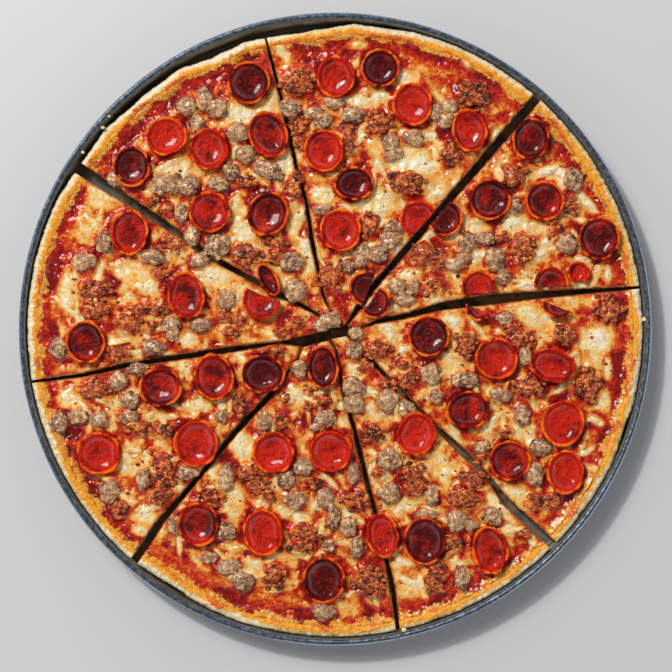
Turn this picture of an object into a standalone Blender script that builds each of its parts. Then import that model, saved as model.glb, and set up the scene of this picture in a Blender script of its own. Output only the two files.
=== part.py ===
"""A deep dish pizza in its own round steel pan, cut into eight slices.

Metres, +Z up. The origin is on the pan's axis, on the surface that it stands on,
and +Y is away from whoever looks at the pizza from the front.
"""

import math
import random

import bmesh
import bpy
from mathutils import Matrix, Vector, noise

MM = 0.001

# The pan: a 16 inch round pan with near upright walls and a rolled rim.
PAN_DIAMETER = 0.412
PAN_HEIGHT = 0.0254
PAN_WALL = 0.0012
PAN_LEAN = 0.0012
BEAD_RADIUS = 0.0020
PAN_SIDES = 48

# The pizza's layers, as heights above the surface that the pan stands on.
GAP = 0.0003
DOUGH_BOTTOM = PAN_WALL + GAP
DOUGH_TOP = 0.0150
EDGE_TOP = 0.0220
EDGE_WIDTH = 0.0080
EDGE_LIMIT = 0.2007
CHEESE_TOP = 0.0200
CHEESE_DIP = 0.0009
CHEESE_WAVES_PER_METRE = 60
COLUMNS = 6
CHEESE_ROWS = (0.0, 0.18, 0.36, 0.54, 0.70, 0.86)
DOUGH_ROWS = (0.0, 0.25, 0.50, 0.75)
BASE_DRAWN_IN = 0.994

# The raised edge's section from the cheese outwards: the share of its width that
# is still to go, and the drop from its top.
EDGE_PROFILE = ((1.0, EDGE_TOP - DOUGH_TOP), (0.97, 0.0015), (0.5, 0.0), (0.1, 0.0030), (0.0, 0.0090))

# Pepperoni cups. A ring is its radius as a share of the cup's width, and its level
# as a share of the cup's height.
USUAL_CUP = 0.026
CUP_HEIGHT = 0.0066
CUP_WALL = 0.0015
CUP_BASE = 0.30
CUP_SIDES = 11
CUP_RINGS = ((0.44, 0.28), (0.50, 1.0))
CUP_PLATEAU = 0.62
CUT_CUP_HEIGHT = 0.0050
CUT_CUP_SIDES = 8
CUT_CUP_RINGS = ((0.50, 1.0),)

# Lumps of sausage, pressed into the cheese.
SMALLEST_LUMP = 0.0090
LARGE_LUMP = 0.0125
LUMP_HEIGHT = 0.0075
LUMP_LIFT = 0.22
LUMP_TAPER = 0.55
CHUNK_TALLNESS, CHUNK_JAG = 0.62, 0.16
CRUMBLE_TALLNESS, CRUMBLE_JAG = 0.50, 0.26

# How a lump is moved off its neighbours, and made smaller until it fits.
CLEARANCE = 0.0006
NUDGE = 0.00006
SETTLE_STEPS = 30
SETTLE_SIZES = (1.0, 0.88, 0.77, 0.68, 0.6, 0.5)

# Each cut runs outwards as (x, y, width of the gap), in millimetres. Going
# clockwise round the pizza, slice a lies between cuts 8 and 1, b between 1 and 2.
CUTS = {
    1: [(4.8, 1.5, 0.7), (-4, 14, 0.7), (-8, 22, 1.6), (-10.5, 36, 2.0), (-15.5, 60, 2.8),
        (-19, 84, 2.2), (-25.5, 107, 2.0), (-32, 138, 2.4), (-37.5, 160, 2.0), (-45.2, 189.5, 1.5)],
    2: [(8, 3, 1.2), (11.8, 9, 3.0), (25.5, 28, 4.0), (57.3, 64.5, 4.4), (132, 151.2, 6.3)],
    3: [(9.5, 1, 0.7), (17, 1.2, 0.7), (30, 5.5, 2.5), (48, 9, 3.5), (70, 15, 5.0),
        (100, 19.3, 7.0), (140, 23, 4.5), (198.5, 27.2, 1.8)],
    4: [(8.5, -4.2, 1.6), (25.5, -22.7, 2.5), (66.4, -64.5, 2.5), (83.6, -80.5, 4.5),
        (97, -93, 2.5), (112, -113, 5.0), (143.6, -142.2, 6.0)],
    5: [(-3.5, -7.2, 1.5), (0.5, -12, 2.6), (2, -24, 1.4), (5, -40, 1.8), (12.5, -65, 3.0),
        (21.8, -103.6, 3.2), (27, -122, 2.5), (33, -149, 2.2), (37.5, -168, 3.5), (41.2, -196.8, 2.6)],
    6: [(-22, -12, 1.2), (-24.5, -20, 1.2), (-44, -45, 3.5), (-66, -68, 4.0), (-83, -89.5, 2.5),
        (-101, -110.5, 3.5), (-115, -127, 5.0), (-131, -151.5, 5.6)],
    7: [(-5, -3.6, 5.0), (-14, -6, 6.0), (-26, -8.5, 5.5), (-37, -9, 0.9), (-47, -10.5, 2.5),
        (-70, -13.6, 4.0), (-119, -21, 3.2), (-137, -23.8, 3.2), (-164.5, -30, 2.4), (-199.4, -34.7, 1.8)],
    8: [(-3.5, 0.6, 1.5), (-9, 8, 1.6), (-15.5, 12, 2.5), (-49, 29.5, 3.5), (-79, 46, 3.5),
        (-113.6, 70, 5.0), (-167.5, 105, 7.6)],
}

# Of each slice: the cut before it and the cut after it, how many points of each
# are passed over at its tip, and points on the crust's outer edge in millimetres.
SLICES = {
    "a": (8, 0, 1, 0, [(-150, 129), (-125, 152), (-101, 169.5), (-80, 176), (-59, 187)]),
    "b": (1, 0, 2, 0, [(-20, 193.5), (12, 198.5), (50, 193.5), (80, 186), (103, 173), (115, 163.5)]),
    "c": (2, 0, 3, 0, [(152, 139), (174, 115), (188, 83), (196.5, 52)]),
    "d": (3, 0, 4, 0, [(201, 3), (199.5, -24), (195, -46), (182, -88), (170, -108), (156, -129)]),
    "e": (4, 0, 5, 0, [(133.6, -153.6), (115.5, -166.4), (97, -178), (79, -186.4), (60, -191.5)]),
    "f": (5, 0, 6, 0, [(21, -199.5), (-6, -201), (-33, -197.5), (-60, -192.7), (-80, -183.6),
                       (-119, -159)]),
    "g": (6, 0, 7, 2, [(-146, -142), (-159, -130), (-175, -110), (-186, -90), (-193, -70),
                       (-199, -50)]),
    "h": (7, 0, 8, 0, [(-200.5, -5), (-199.5, 20), (-196, 45), (-187, 71), (-180, 86)]),
}

# Whole pepperoni cups: (x, y, width, depth, turn in degrees), millimetres.
CUPS = {
    "a": [(-56.5, 160, 27, 27, 0), (-109.5, 125, 26, 24, 0), (-132, 105.5, 23, 26, 0),
          (-81.7, 116.4, 25, 27, 0), (-43.4, 126.5, 24, 31, 25), (-82, 76, 26, 26, 0),
          (-43.5, 74.5, 25, 29, -30)],
    "b": [(0.9, 164, 24.5, 26, 0), (29.3, 169.7, 24, 24, 0), (50.7, 145.7, 25, 27, 0),
          (-7.4, 116, 25, 27, 0), (88, 129, 21, 28, 14), (12, 94.4, 25, 21, 0), (3.5, 63.7, 26, 27, 0)],
    "c": [(100.4, 83.8, 26, 26, 0), (136.4, 83.5, 24, 25, 0), (171.6, 59, 26, 28, 0),
          (127.4, 124, 23, 27, -8)],
    "d": [(61, -5, 26, 26, 0), (105.3, -19, 26.5, 26, 0), (141.7, -23, 30, 22, -14),
          (86.5, -52.7, 28, 24, 12), (148.2, -61, 26, 30, -8), (113.8, -85.8, 26, 25.5, 0),
          (149.5, -93.6, 23, 28, 0)],
    "e": [(52.7, -68.3, 25, 28, -20), (58.5, -137.8, 27, 31, 0), (31.2, -133.9, 20, 29, 12),
          (100.8, -143.7, 22, 31, 8)],
    "f": [(-88.4, -127.4, 26, 28, 0), (-47.5, -132, 25, 30, 10), (-7.8, -163.2, 27, 30, 0),
          (-39.7, -80.6, 26, 27, 0), (-3.3, -79.3, 27, 27, 0), (-8.4, -25, 19, 28, 5)],
    "g": [(-153.4, -80.6, 28, 27, 0), (-113, -38.4, 27, 25, 0), (-79.3, -31.2, 25, 30, 10),
          (-46.8, -29.3, 27.5, 25, 0), (-89.7, -74.1, 28, 31, 0)],
    "h": [(-162.5, -8.5, 24, 27, 0), (-96.9, 21.5, 23, 31, 8), (-133.9, 63, 23, 29, -6)],
}

# Pepperoni that a cut went through or that folded over, in the same terms. These
# lie pressed into the cheese of their slice.
CUT_CUPS = {
    "a": [(-43, 32, 9, 22, 28)],
    "b": [(52, 74, 16, 24, -42), (16.5, 28, 12, 22, -22)],
    "c": [(74, 70, 15, 22, -40), (29, 15.5, 12, 20, -36), (93.6, 30.5, 22, 14, 3),
          (139.8, 34.2, 22, 13, 3), (158.5, 37.5, 13, 12, 0)],
    "d": [(92, 9.5, 17, 6, -22), (143, 11, 20, 8, -22)],
    "h": [(-50, 14.5, 25, 16, -22)],
}

# Pale sausage chunks and dark red crumbles: (x, y, width, depth), millimetres.
PALE_CHUNKS = {
    "a": [(-96, 145, 13, 12), (-85, 150, 9, 15), (-77, 144, 13, 12), (-90, 134, 8, 12),
          (-114, 94, 12, 13), (-105, 95, 12, 13), (-95, 93, 12, 13), (-76, 94, 13, 11),
          (-143, 98, 9, 11), (-100, 76, 8, 12), (-63, 128, 14, 12), (-58, 113, 14, 12),
          (-47, 105, 13, 11), (-40, 102, 12, 11), (-68, 103, 11, 11), (-93, 61, 9, 14),
          (-77, 54, 16, 15), (-28, 44, 14, 13), (-26, 25, 13, 15), (-3, 6, 13, 11)],
    "b": [(0, 148, 13, 8), (-29, 144, 13, 11), (-14, 141, 12, 8), (-8, 135, 12, 11),
          (11, 140, 14, 10), (36, 121, 11, 13), (38, 114, 12, 9), (51, 125, 13, 10),
          (-8, 78, 12, 7), (66, 141, 10, 12), (74, 145, 11, 9), (72, 136, 11, 9),
          (36, 58, 12, 12), (38, 66, 12, 8), (28, 49, 13, 11), (17, 48, 10, 14), (9, 41, 8, 8)],
    "c": [(155, 97, 11, 16), (117, 80, 9, 10), (41, 28, 12, 11), (51, 27, 8, 11), (45, 20, 12, 9),
          (86, 56, 11, 14), (98, 59, 12, 9), (84, 47, 9, 8), (104, 46, 12, 15), (78, 42, 13, 8),
          (109, 34, 9, 9), (151, 55, 14, 12)],
    "d": [(14, -3, 9, 10), (62, -29, 12, 14), (66, -44, 9, 9), (111, 7, 11, 8), (124, -18, 9, 11),
          (108, -43, 13, 10), (122, -56, 10, 12), (134, -77, 14, 11), (130, -94, 11, 15),
          (85, -33, 17, 10), (96, -77, 10, 8)],
    "e": [(13, -14, 10, 12), (12, -38, 14, 12), (13, -49, 13, 13), (34, -47, 14, 15),
          (46, -52, 12, 10), (35, -85, 15, 14), (35, -107, 13, 12), (63, -109, 8, 13),
          (59, -121, 13, 7), (79, -125, 13, 13), (103, -122, 11, 12), (89, -128, 9, 8),
          (83, -162, 9, 14)],
    "f": [(-23, -26, 10, 11), (-7, -58, 13, 11), (-12, -64, 9, 6), (-46, -60, 10, 12),
          (-31, -98, 12, 12), (-26, -111, 14, 11), (-21, -90, 12, 11), (-7, -110, 12, 13),
          (-1, -121, 8, 16), (9, -129, 10, 13), (14, -142, 9, 14), (12, -94, 8, 12),
          (-60, -164, 14, 11), (-69, -155, 15, 9), (-7, -184, 14, 12), (-4, -141, 8, 8),
          (-71, -132, 12, 11), (-82, -149, 10, 7), (-105, -128, 8, 12), (-71, -97, 10, 16)],
    "g": [(-128, -26, 14, 8), (-141, -34, 12, 12), (-134, -46, 12, 10), (-134, -58, 12, 9),
          (-167, -57, 12, 10), (-154, -59, 11, 11), (-180, -61, 11, 13), (-74, -57, 8, 8),
          (-147, -106, 12, 14), (-125, -98, 8, 15), (-96, -93, 14, 10)],
    "h": [(-150, 56, 11, 13), (-163, 44, 14, 12), (-118, 47, 16, 10), (-88, 45, 12, 11),
          (-71, 19, 11, 13), (-107, 3, 12, 9), (-106, -4, 8, 8), (-88, 3, 14, 9),
          (-118, -12, 14, 10), (-180, -13, 11, 13), (-10, 2, 9, 7)],
}
RED_CRUMBLES = {
    "a": [(-57, 96, 12, 10), (-27, 92, 10, 20), (-110, 78, 10, 9), (-59, 49, 19, 16),
          (-38, 56, 16, 8), (-38, 48, 17, 9)],
    "b": [(-24, 161, 21, 18), (-24, 132, 13, 12), (-22, 122, 9, 8), (29, 134, 19, 16),
          (8, 124, 9, 18), (47, 95, 25, 17), (75, 115, 14, 16), (22, 68, 11, 18),
          (91, 152, 24, 18), (-3, 34, 14, 18)],
    "c": [(117, 100, 17, 16), (154, 80, 10, 12), (57, 49, 18, 16), (66, 45, 11, 14),
          (66, 29, 11, 11), (123, 53, 15, 19), (143, 64, 9, 12), (110, 60, 8, 7)],
    "d": [(28, -14, 17, 12), (45, -24, 10, 10), (47, -34, 14, 13), (178, 13, 18, 17),
          (116, 2, 13, 8), (122, -7, 15, 12), (150, -3, 18, 14), (85, -10, 17, 18),
          (126, -38, 21, 14), (164, -37, 18, 21), (110, -67, 12, 7), (95, -84, 9, 7),
          (132, -112, 13, 11), (143, -111, 9, 11)],
    "e": [(21, -24, 10, 7), (34, -37, 12, 8), (24, -69, 15, 13), (51, -95, 17, 14),
          (52, -104, 16, 10), (89, -97, 20, 12), (85, -109, 21, 15), (75, -139, 14, 14),
          (65, -164, 15, 16), (65, -154, 11, 8), (124, -133, 8, 9), (29, -94, 7, 10)],
    "f": [(-15, -39, 10, 8), (-6, -46, 13, 9), (-32, -45, 10, 9), (-36, -61, 8, 13),
          (-57, -94, 17, 13), (-50, -104, 15, 10), (13, -111, 19, 13), (-19, -132, 21, 11),
          (-21, -142, 17, 9), (22, -164, 22, 19), (-39, -162, 13, 17), (-81, -109, 15, 12),
          (-83, -102, 9, 6), (-15, -101, 9, 7)],
    "g": [(-155, -40, 17, 16), (-128, -65, 16, 9), (-111, -66, 17, 9), (-63, -49, 9, 16),
          (-141, -116, 14, 12), (-112, -88, 15, 12), (-112, -97, 15, 11), (-114, -110, 15, 12),
          (-39, -14, 12, 7)],
    "h": [(-155, 25, 20, 13), (-155, 13, 18, 12), (-105, 56, 13, 12), (-114, 36, 10, 8),
          (-131, 13, 17, 7), (-114, 13, 14, 6), (-134, 4, 18, 12), (-119, 1, 10, 8),
          (-141, -15, 16, 10), (-64, 7, 12, 10), (-68, -2, 10, 8), (-35, -3, 13, 9)],
}


def clear_scene():
    for obj in list(bpy.data.objects):
        bpy.data.objects.remove(obj)


def new_material(name, colour, roughness, metallic=0.0):
    material = bpy.data.materials.new(name)
    material.use_nodes = True
    shader = material.node_tree.nodes["Principled BSDF"]
    shader.inputs["Base Color"].default_value = (*colour, 1.0)
    shader.inputs["Roughness"].default_value = roughness
    shader.inputs["Metallic"].default_value = metallic
    return material


def object_from(name, bm, material, collection):
    """Turns a bmesh into a named, smooth shaded object of this collection."""
    mesh = bpy.data.meshes.new(name)
    bm.to_mesh(mesh)
    bm.free()
    mesh.materials.append(material)
    mesh.shade_smooth()
    mesh.set_sharp_from_angle(angle=math.radians(35))
    obj = bpy.data.objects.new(name, mesh)
    collection.objects.link(obj)
    return obj


def make_pan(material, collection):
    """A turned profile: floor, inner wall, rolled bead, outer wall and underside."""
    bead = Vector((PAN_DIAMETER / 2 - BEAD_RADIUS, PAN_HEIGHT - BEAD_RADIUS))
    inner = bead.x - BEAD_RADIUS
    foot = inner - PAN_LEAN
    profile = [(0.0, PAN_WALL), (foot, PAN_WALL), (inner, bead.y)]
    for degrees in (135, 90, 45, 0, -60, -120):
        angle = math.radians(degrees)
        profile.append(bead + Vector((math.cos(angle), math.sin(angle))) * BEAD_RADIUS)
    profile += [(foot + PAN_WALL, PAN_WALL), (foot, 0.0), (0.0, 0.0)]
    bm = bmesh.new()
    points = [bm.verts.new((x, 0.0, z)) for x, z in profile]
    for first, second in zip(points[:-1], points[1:]):
        bm.edges.new((first, second))
    pan = object_from("pan", bm, material, collection)
    turn = pan.modifiers.new("turn", "SCREW")
    turn.steps = turn.render_steps = PAN_SIDES
    turn.use_merge_vertices = True
    turn.merge_threshold = 1e-5


def along(points, share):
    """The point at this share of the length of a line of points."""
    lengths = [(b - a).length for a, b in zip(points[:-1], points[1:])]
    left = share * sum(lengths)
    for start, end, length in zip(points[:-1], points[1:], lengths):
        if left <= length:
            return start.lerp(end, left / length)
        left -= length
    return points[-1].copy()


def cut_side(cut, passed, clockwise):
    """One side of a cut's gap, from the tip outwards."""
    middle = [Vector(point[:2]) * MM for point in CUTS[cut]]
    side = []
    for i, point in enumerate(middle):
        ahead = middle[min(i + 1, len(middle) - 1)] - middle[max(i - 1, 0)]
        across = Vector((ahead.y, -ahead.x)).normalized() * (CUTS[cut][i][2] * MM / 2)
        side.append(point + across if clockwise else point - across)
    return side[passed:]


def slice_sides(name):
    """The two cut sides of a slice and its outer edge, each a line of points."""
    before, before_passed, after, after_passed, edge = SLICES[name]
    start = cut_side(before, before_passed, True)
    end = cut_side(after, after_passed, False)
    outer = [start[-1]] + [Vector(point) * MM for point in edge] + [end[-1]]
    outer = [point * min(1.0, EDGE_LIMIT / point.length) for point in outer]
    start[-1], end[-1] = outer[0], outer[-1]
    return start, end, outer


def slice_point(sides, across, out, inset=0.0):
    """A place on a slice: 0 to 1 across it, clockwise, and 0 to 1 out from its tip, less a distance."""
    start, end, outer = sides
    tip = start[0].lerp(end[0], across)
    rim = along(outer, across)
    out -= inset / (rim - tip).length
    corners = tip.lerp(outer[0].lerp(outer[-1], across), out)
    return tip.lerp(rim, out) + along(start, out).lerp(along(end, out), across) - corners


def slice_grid(sides, rows):
    """A sheet over the slice, from rows of (share of the way out, distance back in, height)."""
    bm = bmesh.new()
    bmesh.ops.create_grid(bm, x_segments=COLUMNS, y_segments=len(rows) - 1, size=1.0)
    for vert in bm.verts:
        out, inset, height = rows[round((vert.co.y + 1) / 2 * (len(rows) - 1))]
        vert.co = (*slice_point(sides, (vert.co.x + 1) / 2, out, inset), height)
    return bm


def close_below(bm, bottom, drawn_in):
    """Extrudes an open sheet down to one flat bottom face, drawn in a little at the pizza's edge."""
    lowered = bmesh.ops.extrude_face_region(bm, geom=bm.faces[:])["geom"]
    for vert in (item for item in lowered if isinstance(item, bmesh.types.BMVert)):
        factor = drawn_in if vert.co.xy.length > EDGE_LIMIT - 2 * EDGE_WIDTH else 1.0
        vert.co = (vert.co.x * factor, vert.co.y * factor, bottom)
    bottom_faces = [item for item in lowered if isinstance(item, bmesh.types.BMFace)]
    bmesh.ops.dissolve_faces(bm, faces=bottom_faces, use_verts=True)
    bmesh.ops.recalc_face_normals(bm, faces=bm.faces[:])


def make_crust(name, material, collection):
    """The baked dough of one slice: a flat base with a raised outer edge."""
    rows = [(share, 0.0, DOUGH_TOP) for share in DOUGH_ROWS]
    rows += [(1.0, EDGE_WIDTH * share, EDGE_TOP - drop) for share, drop in EDGE_PROFILE]
    bm = slice_grid(slice_sides(name), rows)
    flat = [face for face in bm.faces if len({round(vert.co.z, 6) for vert in face.verts}) == 1]
    bmesh.ops.dissolve_faces(bm, faces=flat, use_verts=True)
    close_below(bm, DOUGH_BOTTOM, BASE_DRAWN_IN)
    object_from("crust_" + name, bm, material, collection)


def cheese_height(x, y):
    """The height of the cheese's uneven top, which is level where a cup lies on it."""
    for cup_x, cup_y, width, depth, _ in (cup for cups in CUPS.values() for cup in cups):
        if math.hypot(x - cup_x * MM, y - cup_y * MM) < max(width, depth) * MM * CUP_PLATEAU:
            return CHEESE_TOP
    waves = noise.noise(Vector((x, y, 0.0)) * CHEESE_WAVES_PER_METRE)
    return CHEESE_TOP - CHEESE_DIP * (0.5 + 0.5 * waves)


def reach(width, depth, turn, direction):
    """How far an oval of this width, depth and turn stretches in a direction."""
    angle = math.radians(turn)
    sideways = direction.x * math.cos(angle) + direction.y * math.sin(angle)
    forwards = direction.y * math.cos(angle) - direction.x * math.sin(angle)
    return math.hypot(sideways * width, forwards * depth) / 2


def inside_by(point, outline):
    """How far a point is inside a closed clockwise outline, and the direction that leads further in."""
    nearest, inward = math.inf, None
    for a, b in zip(outline, outline[1:] + outline[:1]):
        edge = b - a
        share = max(0.0, min(1.0, (point - a).dot(edge) / edge.length_squared))
        across = Vector((edge.y, -edge.x)).normalized()
        distance = math.copysign((point - a - edge * share).length, (point - a).dot(across))
        if abs(distance) < abs(nearest):
            nearest, inward = distance, across
    return nearest, inward


def settled(piece, outline):
    """Moves a topping off the cups and in from its slice's sides, smaller where it can't fit."""
    x, y, width, depth, turn = piece
    cups = [cup for cups in CUPS.values() for cup in cups]
    for size in SETTLE_SIZES:
        point = Vector((x, y)) * MM
        for _ in range(SETTLE_STEPS):
            before = point.copy()
            distance, inward = inside_by(point, outline)
            need = reach(width, depth, turn, inward) * size * MM
            if distance < need:
                point += inward * (need - distance + NUDGE)
            for cup_x, cup_y, cup_width, cup_depth, cup_turn in cups:
                away = point - Vector((cup_x, cup_y)) * MM
                direction = away.normalized()
                need = reach(cup_width, cup_depth, cup_turn, direction) * MM + CLEARANCE
                need += reach(width, depth, turn, direction) * size * MM
                if away.length < need:
                    point += direction * (need - away.length + NUDGE)
            if (point - before).length == 0:
                return point, width * size * MM, depth * size * MM
    return None, 0.0, 0.0


def make_lump(place, width, depth, height, jag, draw, collection):
    """A rough lump pressed into the cheese: a blunt cone of a few flat sides, with a broken top."""
    bm = bmesh.new()
    sides = 6 if width + depth > 2 * LARGE_LUMP else 5
    bmesh.ops.create_cone(bm, cap_ends=True, segments=sides, radius1=0.5, radius2=0.5, depth=1.0)
    bmesh.ops.rotate(bm, verts=bm.verts, matrix=Matrix.Rotation(draw.uniform(0, math.tau), 3, "Z"))
    for edge in [edge for edge in bm.edges if abs(edge.verts[0].co.z - edge.verts[1].co.z) > 0.5]:
        foot, head = sorted(edge.verts, key=lambda vert: vert.co.z)
        foot.co.xy *= 1.0 - draw.uniform(0.0, jag)
        head.co.xy = foot.co.xy * LUMP_TAPER
        head.co = foot.co.lerp(head.co, 1.0 - draw.uniform(0.0, 2 * jag))
    bmesh.ops.scale(bm, verts=bm.verts, vec=(width, depth, height))
    mesh = bpy.data.meshes.new("lump")
    bm.to_mesh(mesh)
    bm.free()
    lump = bpy.data.objects.new("lump", mesh)
    lump.location = (place.x, place.y, CHEESE_TOP + height * LUMP_LIFT)
    collection.objects.link(lump)


def make_cup(name, size, sides, rings, material, collection):
    """A slice of pepperoni that curled up into a cup: a dished disc with a wall thickness."""
    bm = bmesh.new()
    bmesh.ops.create_circle(bm, cap_ends=True, segments=sides, radius=CUP_BASE)
    for radius, level in rings:
        rim = [edge for edge in bm.edges if edge.is_boundary]
        grown = bmesh.ops.extrude_edge_only(bm, edges=rim)["geom"]
        for vert in (item for item in grown if isinstance(item, bmesh.types.BMVert)):
            vert.co = (*(vert.co.xy.normalized() * radius), level)
    bmesh.ops.scale(bm, verts=bm.verts, vec=size)
    bmesh.ops.recalc_face_normals(bm, faces=bm.faces[:])
    cup = object_from(name, bm, material, collection)
    wall = cup.modifiers.new("wall", "SOLIDIFY")
    wall.thickness = CUP_WALL
    wall.offset = -1.0
    wall.use_even_offset = True
    return cup


def fuse(obj, toppings):
    """Joins every object of a collection to this one, and removes them."""
    join = obj.modifiers.new("toppings", "BOOLEAN")
    join.operation = "UNION"
    join.operand_type = "COLLECTION"
    join.collection = toppings
    join.solver = "EXACT"
    evaluated = obj.evaluated_get(bpy.context.evaluated_depsgraph_get())
    joined = bpy.data.meshes.new_from_object(evaluated)
    obj.modifiers.clear()
    obj.data = joined
    for topping in list(toppings.objects):
        bpy.data.objects.remove(topping)
    bpy.data.collections.remove(toppings)


def cheese_outline(sides):
    """The clockwise outline of a slice's cheese."""
    inset = EDGE_WIDTH + GAP
    shares = [step / 10 for step in range(11)]
    outline = [slice_point(sides, 0.0, share, share * inset) for share in shares]
    outline += [slice_point(sides, share, 1.0, inset) for share in shares[1:]]
    outline += [slice_point(sides, 1.0, share, share * inset) for share in reversed(shares[:-1])]
    return outline


def make_cheese(name, material, pepperoni, collection):
    """The sauce and cheese of one slice, with its sausage and its cut pepperoni fused to it."""
    sides = slice_sides(name)
    bm = slice_grid(sides, [(share, 0.0, 0.0) for share in CHEESE_ROWS] + [(1.0, EDGE_WIDTH + GAP, 0.0)])
    for vert in bm.verts:
        vert.co.z = cheese_height(vert.co.x, vert.co.y)
    close_below(bm, DOUGH_TOP + GAP, 1.0)
    cheese = object_from("cheese_" + name, bm, material, collection)

    outline = cheese_outline(sides)
    toppings = bpy.data.collections.new("toppings_" + name)
    bpy.context.scene.collection.children.link(toppings)
    draw = random.Random("sausage " + name)
    kinds = ((PALE_CHUNKS, CHUNK_TALLNESS, CHUNK_JAG), (RED_CRUMBLES, CRUMBLE_TALLNESS, CRUMBLE_JAG))
    for pieces, tallness, jag in kinds:
        for x, y, width, depth in pieces[name]:
            if (width + depth) * MM / 2 < SMALLEST_LUMP:
                continue
            place, wide, deep = settled((x, y, width, depth, 0), outline)
            if place:
                height = min(LUMP_HEIGHT, tallness * (wide + deep) / 2)
                make_lump(place, wide, deep, height, jag, draw, toppings)
    for x, y, width, depth, turn in CUT_CUPS.get(name, []):
        place, wide, deep = settled((x, y, width, depth, turn), outline)
        if place:
            size = (wide, deep, CUT_CUP_HEIGHT)
            cut = make_cup("cut", size, CUT_CUP_SIDES, CUT_CUP_RINGS, pepperoni, toppings)
            cut.location = (place.x, place.y, CHEESE_TOP - CUP_WALL)
            cut.rotation_euler.z = math.radians(turn)
    fuse(cheese, toppings)


def main():
    clear_scene()
    pizza = bpy.data.collections.new("deep_dish_pizza")
    bpy.context.scene.collection.children.link(pizza)
    steel = new_material("pan steel", (0.09, 0.11, 0.13), 0.38, 0.9)
    dough = new_material("baked dough", (0.78, 0.47, 0.17), 0.75)
    cheese = new_material("sauce and cheese", (0.80, 0.42, 0.17), 0.42)
    pepperoni = new_material("pepperoni", (0.47, 0.03, 0.012), 0.28)
    make_pan(steel, pizza)
    for name in SLICES:
        make_crust(name, dough, pizza)
        make_cheese(name, cheese, pepperoni, pizza)
        for number, (x, y, width, depth, turn) in enumerate(CUPS[name], 1):
            height = CUP_HEIGHT * math.sqrt(width * depth) * MM / USUAL_CUP
            size = (width * MM, depth * MM, height)
            label = f"pepperoni_{name}{number}"
            cup = make_cup(label, size, CUP_SIDES, CUP_RINGS, pepperoni, pizza)
            cup.location = (x * MM, y * MM, CHEESE_TOP + GAP)
            cup.rotation_euler.z = math.radians(turn)


main()
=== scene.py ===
"""The looks of a deep dish pizza in its own round steel pan, seen from above.

Metres, +Z up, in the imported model's frame: the origin is on the pan's axis, on the surface that
it stands on. Places on the pizza are listed in millimetres, with +Y away from the viewer.
"""

import math
import random

import bmesh
import bpy
import numpy as np
from mathutils import Matrix, Vector, noise


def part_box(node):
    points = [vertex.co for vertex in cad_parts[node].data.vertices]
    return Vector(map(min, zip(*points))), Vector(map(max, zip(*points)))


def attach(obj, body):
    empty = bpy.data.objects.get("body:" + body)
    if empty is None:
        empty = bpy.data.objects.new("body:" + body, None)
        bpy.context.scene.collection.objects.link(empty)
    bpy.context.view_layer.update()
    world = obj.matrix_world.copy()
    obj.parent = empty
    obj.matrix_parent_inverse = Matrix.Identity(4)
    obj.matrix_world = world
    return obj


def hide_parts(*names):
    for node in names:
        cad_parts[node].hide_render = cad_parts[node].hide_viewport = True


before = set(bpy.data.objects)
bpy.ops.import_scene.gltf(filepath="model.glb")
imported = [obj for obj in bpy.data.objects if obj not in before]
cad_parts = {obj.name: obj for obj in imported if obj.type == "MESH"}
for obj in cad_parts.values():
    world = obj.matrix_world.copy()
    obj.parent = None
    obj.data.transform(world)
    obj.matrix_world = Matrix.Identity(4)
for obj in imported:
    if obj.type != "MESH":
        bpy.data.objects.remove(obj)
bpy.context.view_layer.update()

# The floor is a plain pale surface, which the pan's shadow falls on. The light is a
# large soft lamp at the upper left, with a small bright one in its middle, and a fill
# from the sides.
FLOOR_SIZE = 6.0
FLOOR_COLOUR = (0.66, 0.67, 0.69)
FLOOR_DIM = 0.94


class Shade:
    """A socket of a material's nodes. Sums on it add Math nodes; make() adds any other node."""

    def __init__(self, tree, socket=None):
        self.tree = tree
        self.socket = socket

    def make(self, kind, settings=None, sockets=None, out=0):
        node = self.tree.nodes.new("ShaderNode" + kind)
        for name, value in (settings or {}).items():
            if name == "stops":
                ramp = node.color_ramp
                while len(ramp.elements) < len(value):
                    ramp.elements.new(0.5)
                for element, (place, colour) in zip(ramp.elements, value):
                    element.position = place
                    element.color = (*colour, 1.0)
            else:
                setattr(node, name, value)
        for name, value in (sockets or {}).items():
            if isinstance(value, Shade):
                self.tree.links.new(value.socket, node.inputs[name])
            else:
                node.inputs[name].default_value = value
        return Shade(self.tree, node.outputs[out])

    def sum_with(self, operation, first, second):
        return self.make("Math", {"operation": operation}, {0: first, 1: second})

    def __add__(self, other):
        return self.sum_with("ADD", self, other)

    __radd__ = __add__

    def __sub__(self, other):
        return self.sum_with("SUBTRACT", self, other)

    def __rsub__(self, other):
        return self.sum_with("SUBTRACT", other, self)

    def __mul__(self, other):
        return self.sum_with("MULTIPLY", self, other)

    __rmul__ = __mul__

    def between(self, low, high):
        """0 below low, 1 above high, smooth between them."""
        sockets = {"Value": self, "From Min": low, "From Max": high}
        return self.make("MapRange", {"interpolation_type": "SMOOTHSTEP"}, sockets)

    def tinted(self, colour, other):
        """One colour where this is 0, the other where it is 1."""
        first, second = [end if isinstance(end, Shade) else (*end, 1.0) for end in (colour, other)]
        return self.make("Mix", {"data_type": "RGBA"}, {0: self, 6: first, 7: second}, 2)


def new_finish(name, **constants):
    """A material, with its shader's constants set, and a Shade to write its nodes with."""
    material = bpy.data.materials.new(name)
    material.use_nodes = True
    shader = material.node_tree.nodes["Principled BSDF"]
    for socket, value in constants.items():
        shader.inputs[socket.replace("_", " ").title().replace("Ior", "IOR")].default_value = value
    return material, Shade(material.node_tree)


def wire(start, **sockets):
    """Links Shades to the sockets of these names of the material's shader."""
    shader = start.tree.nodes["Principled BSDF"]
    for socket, value in sockets.items():
        start.tree.links.new(value.socket, shader.inputs[socket.replace("_", " ").title()])


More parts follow.
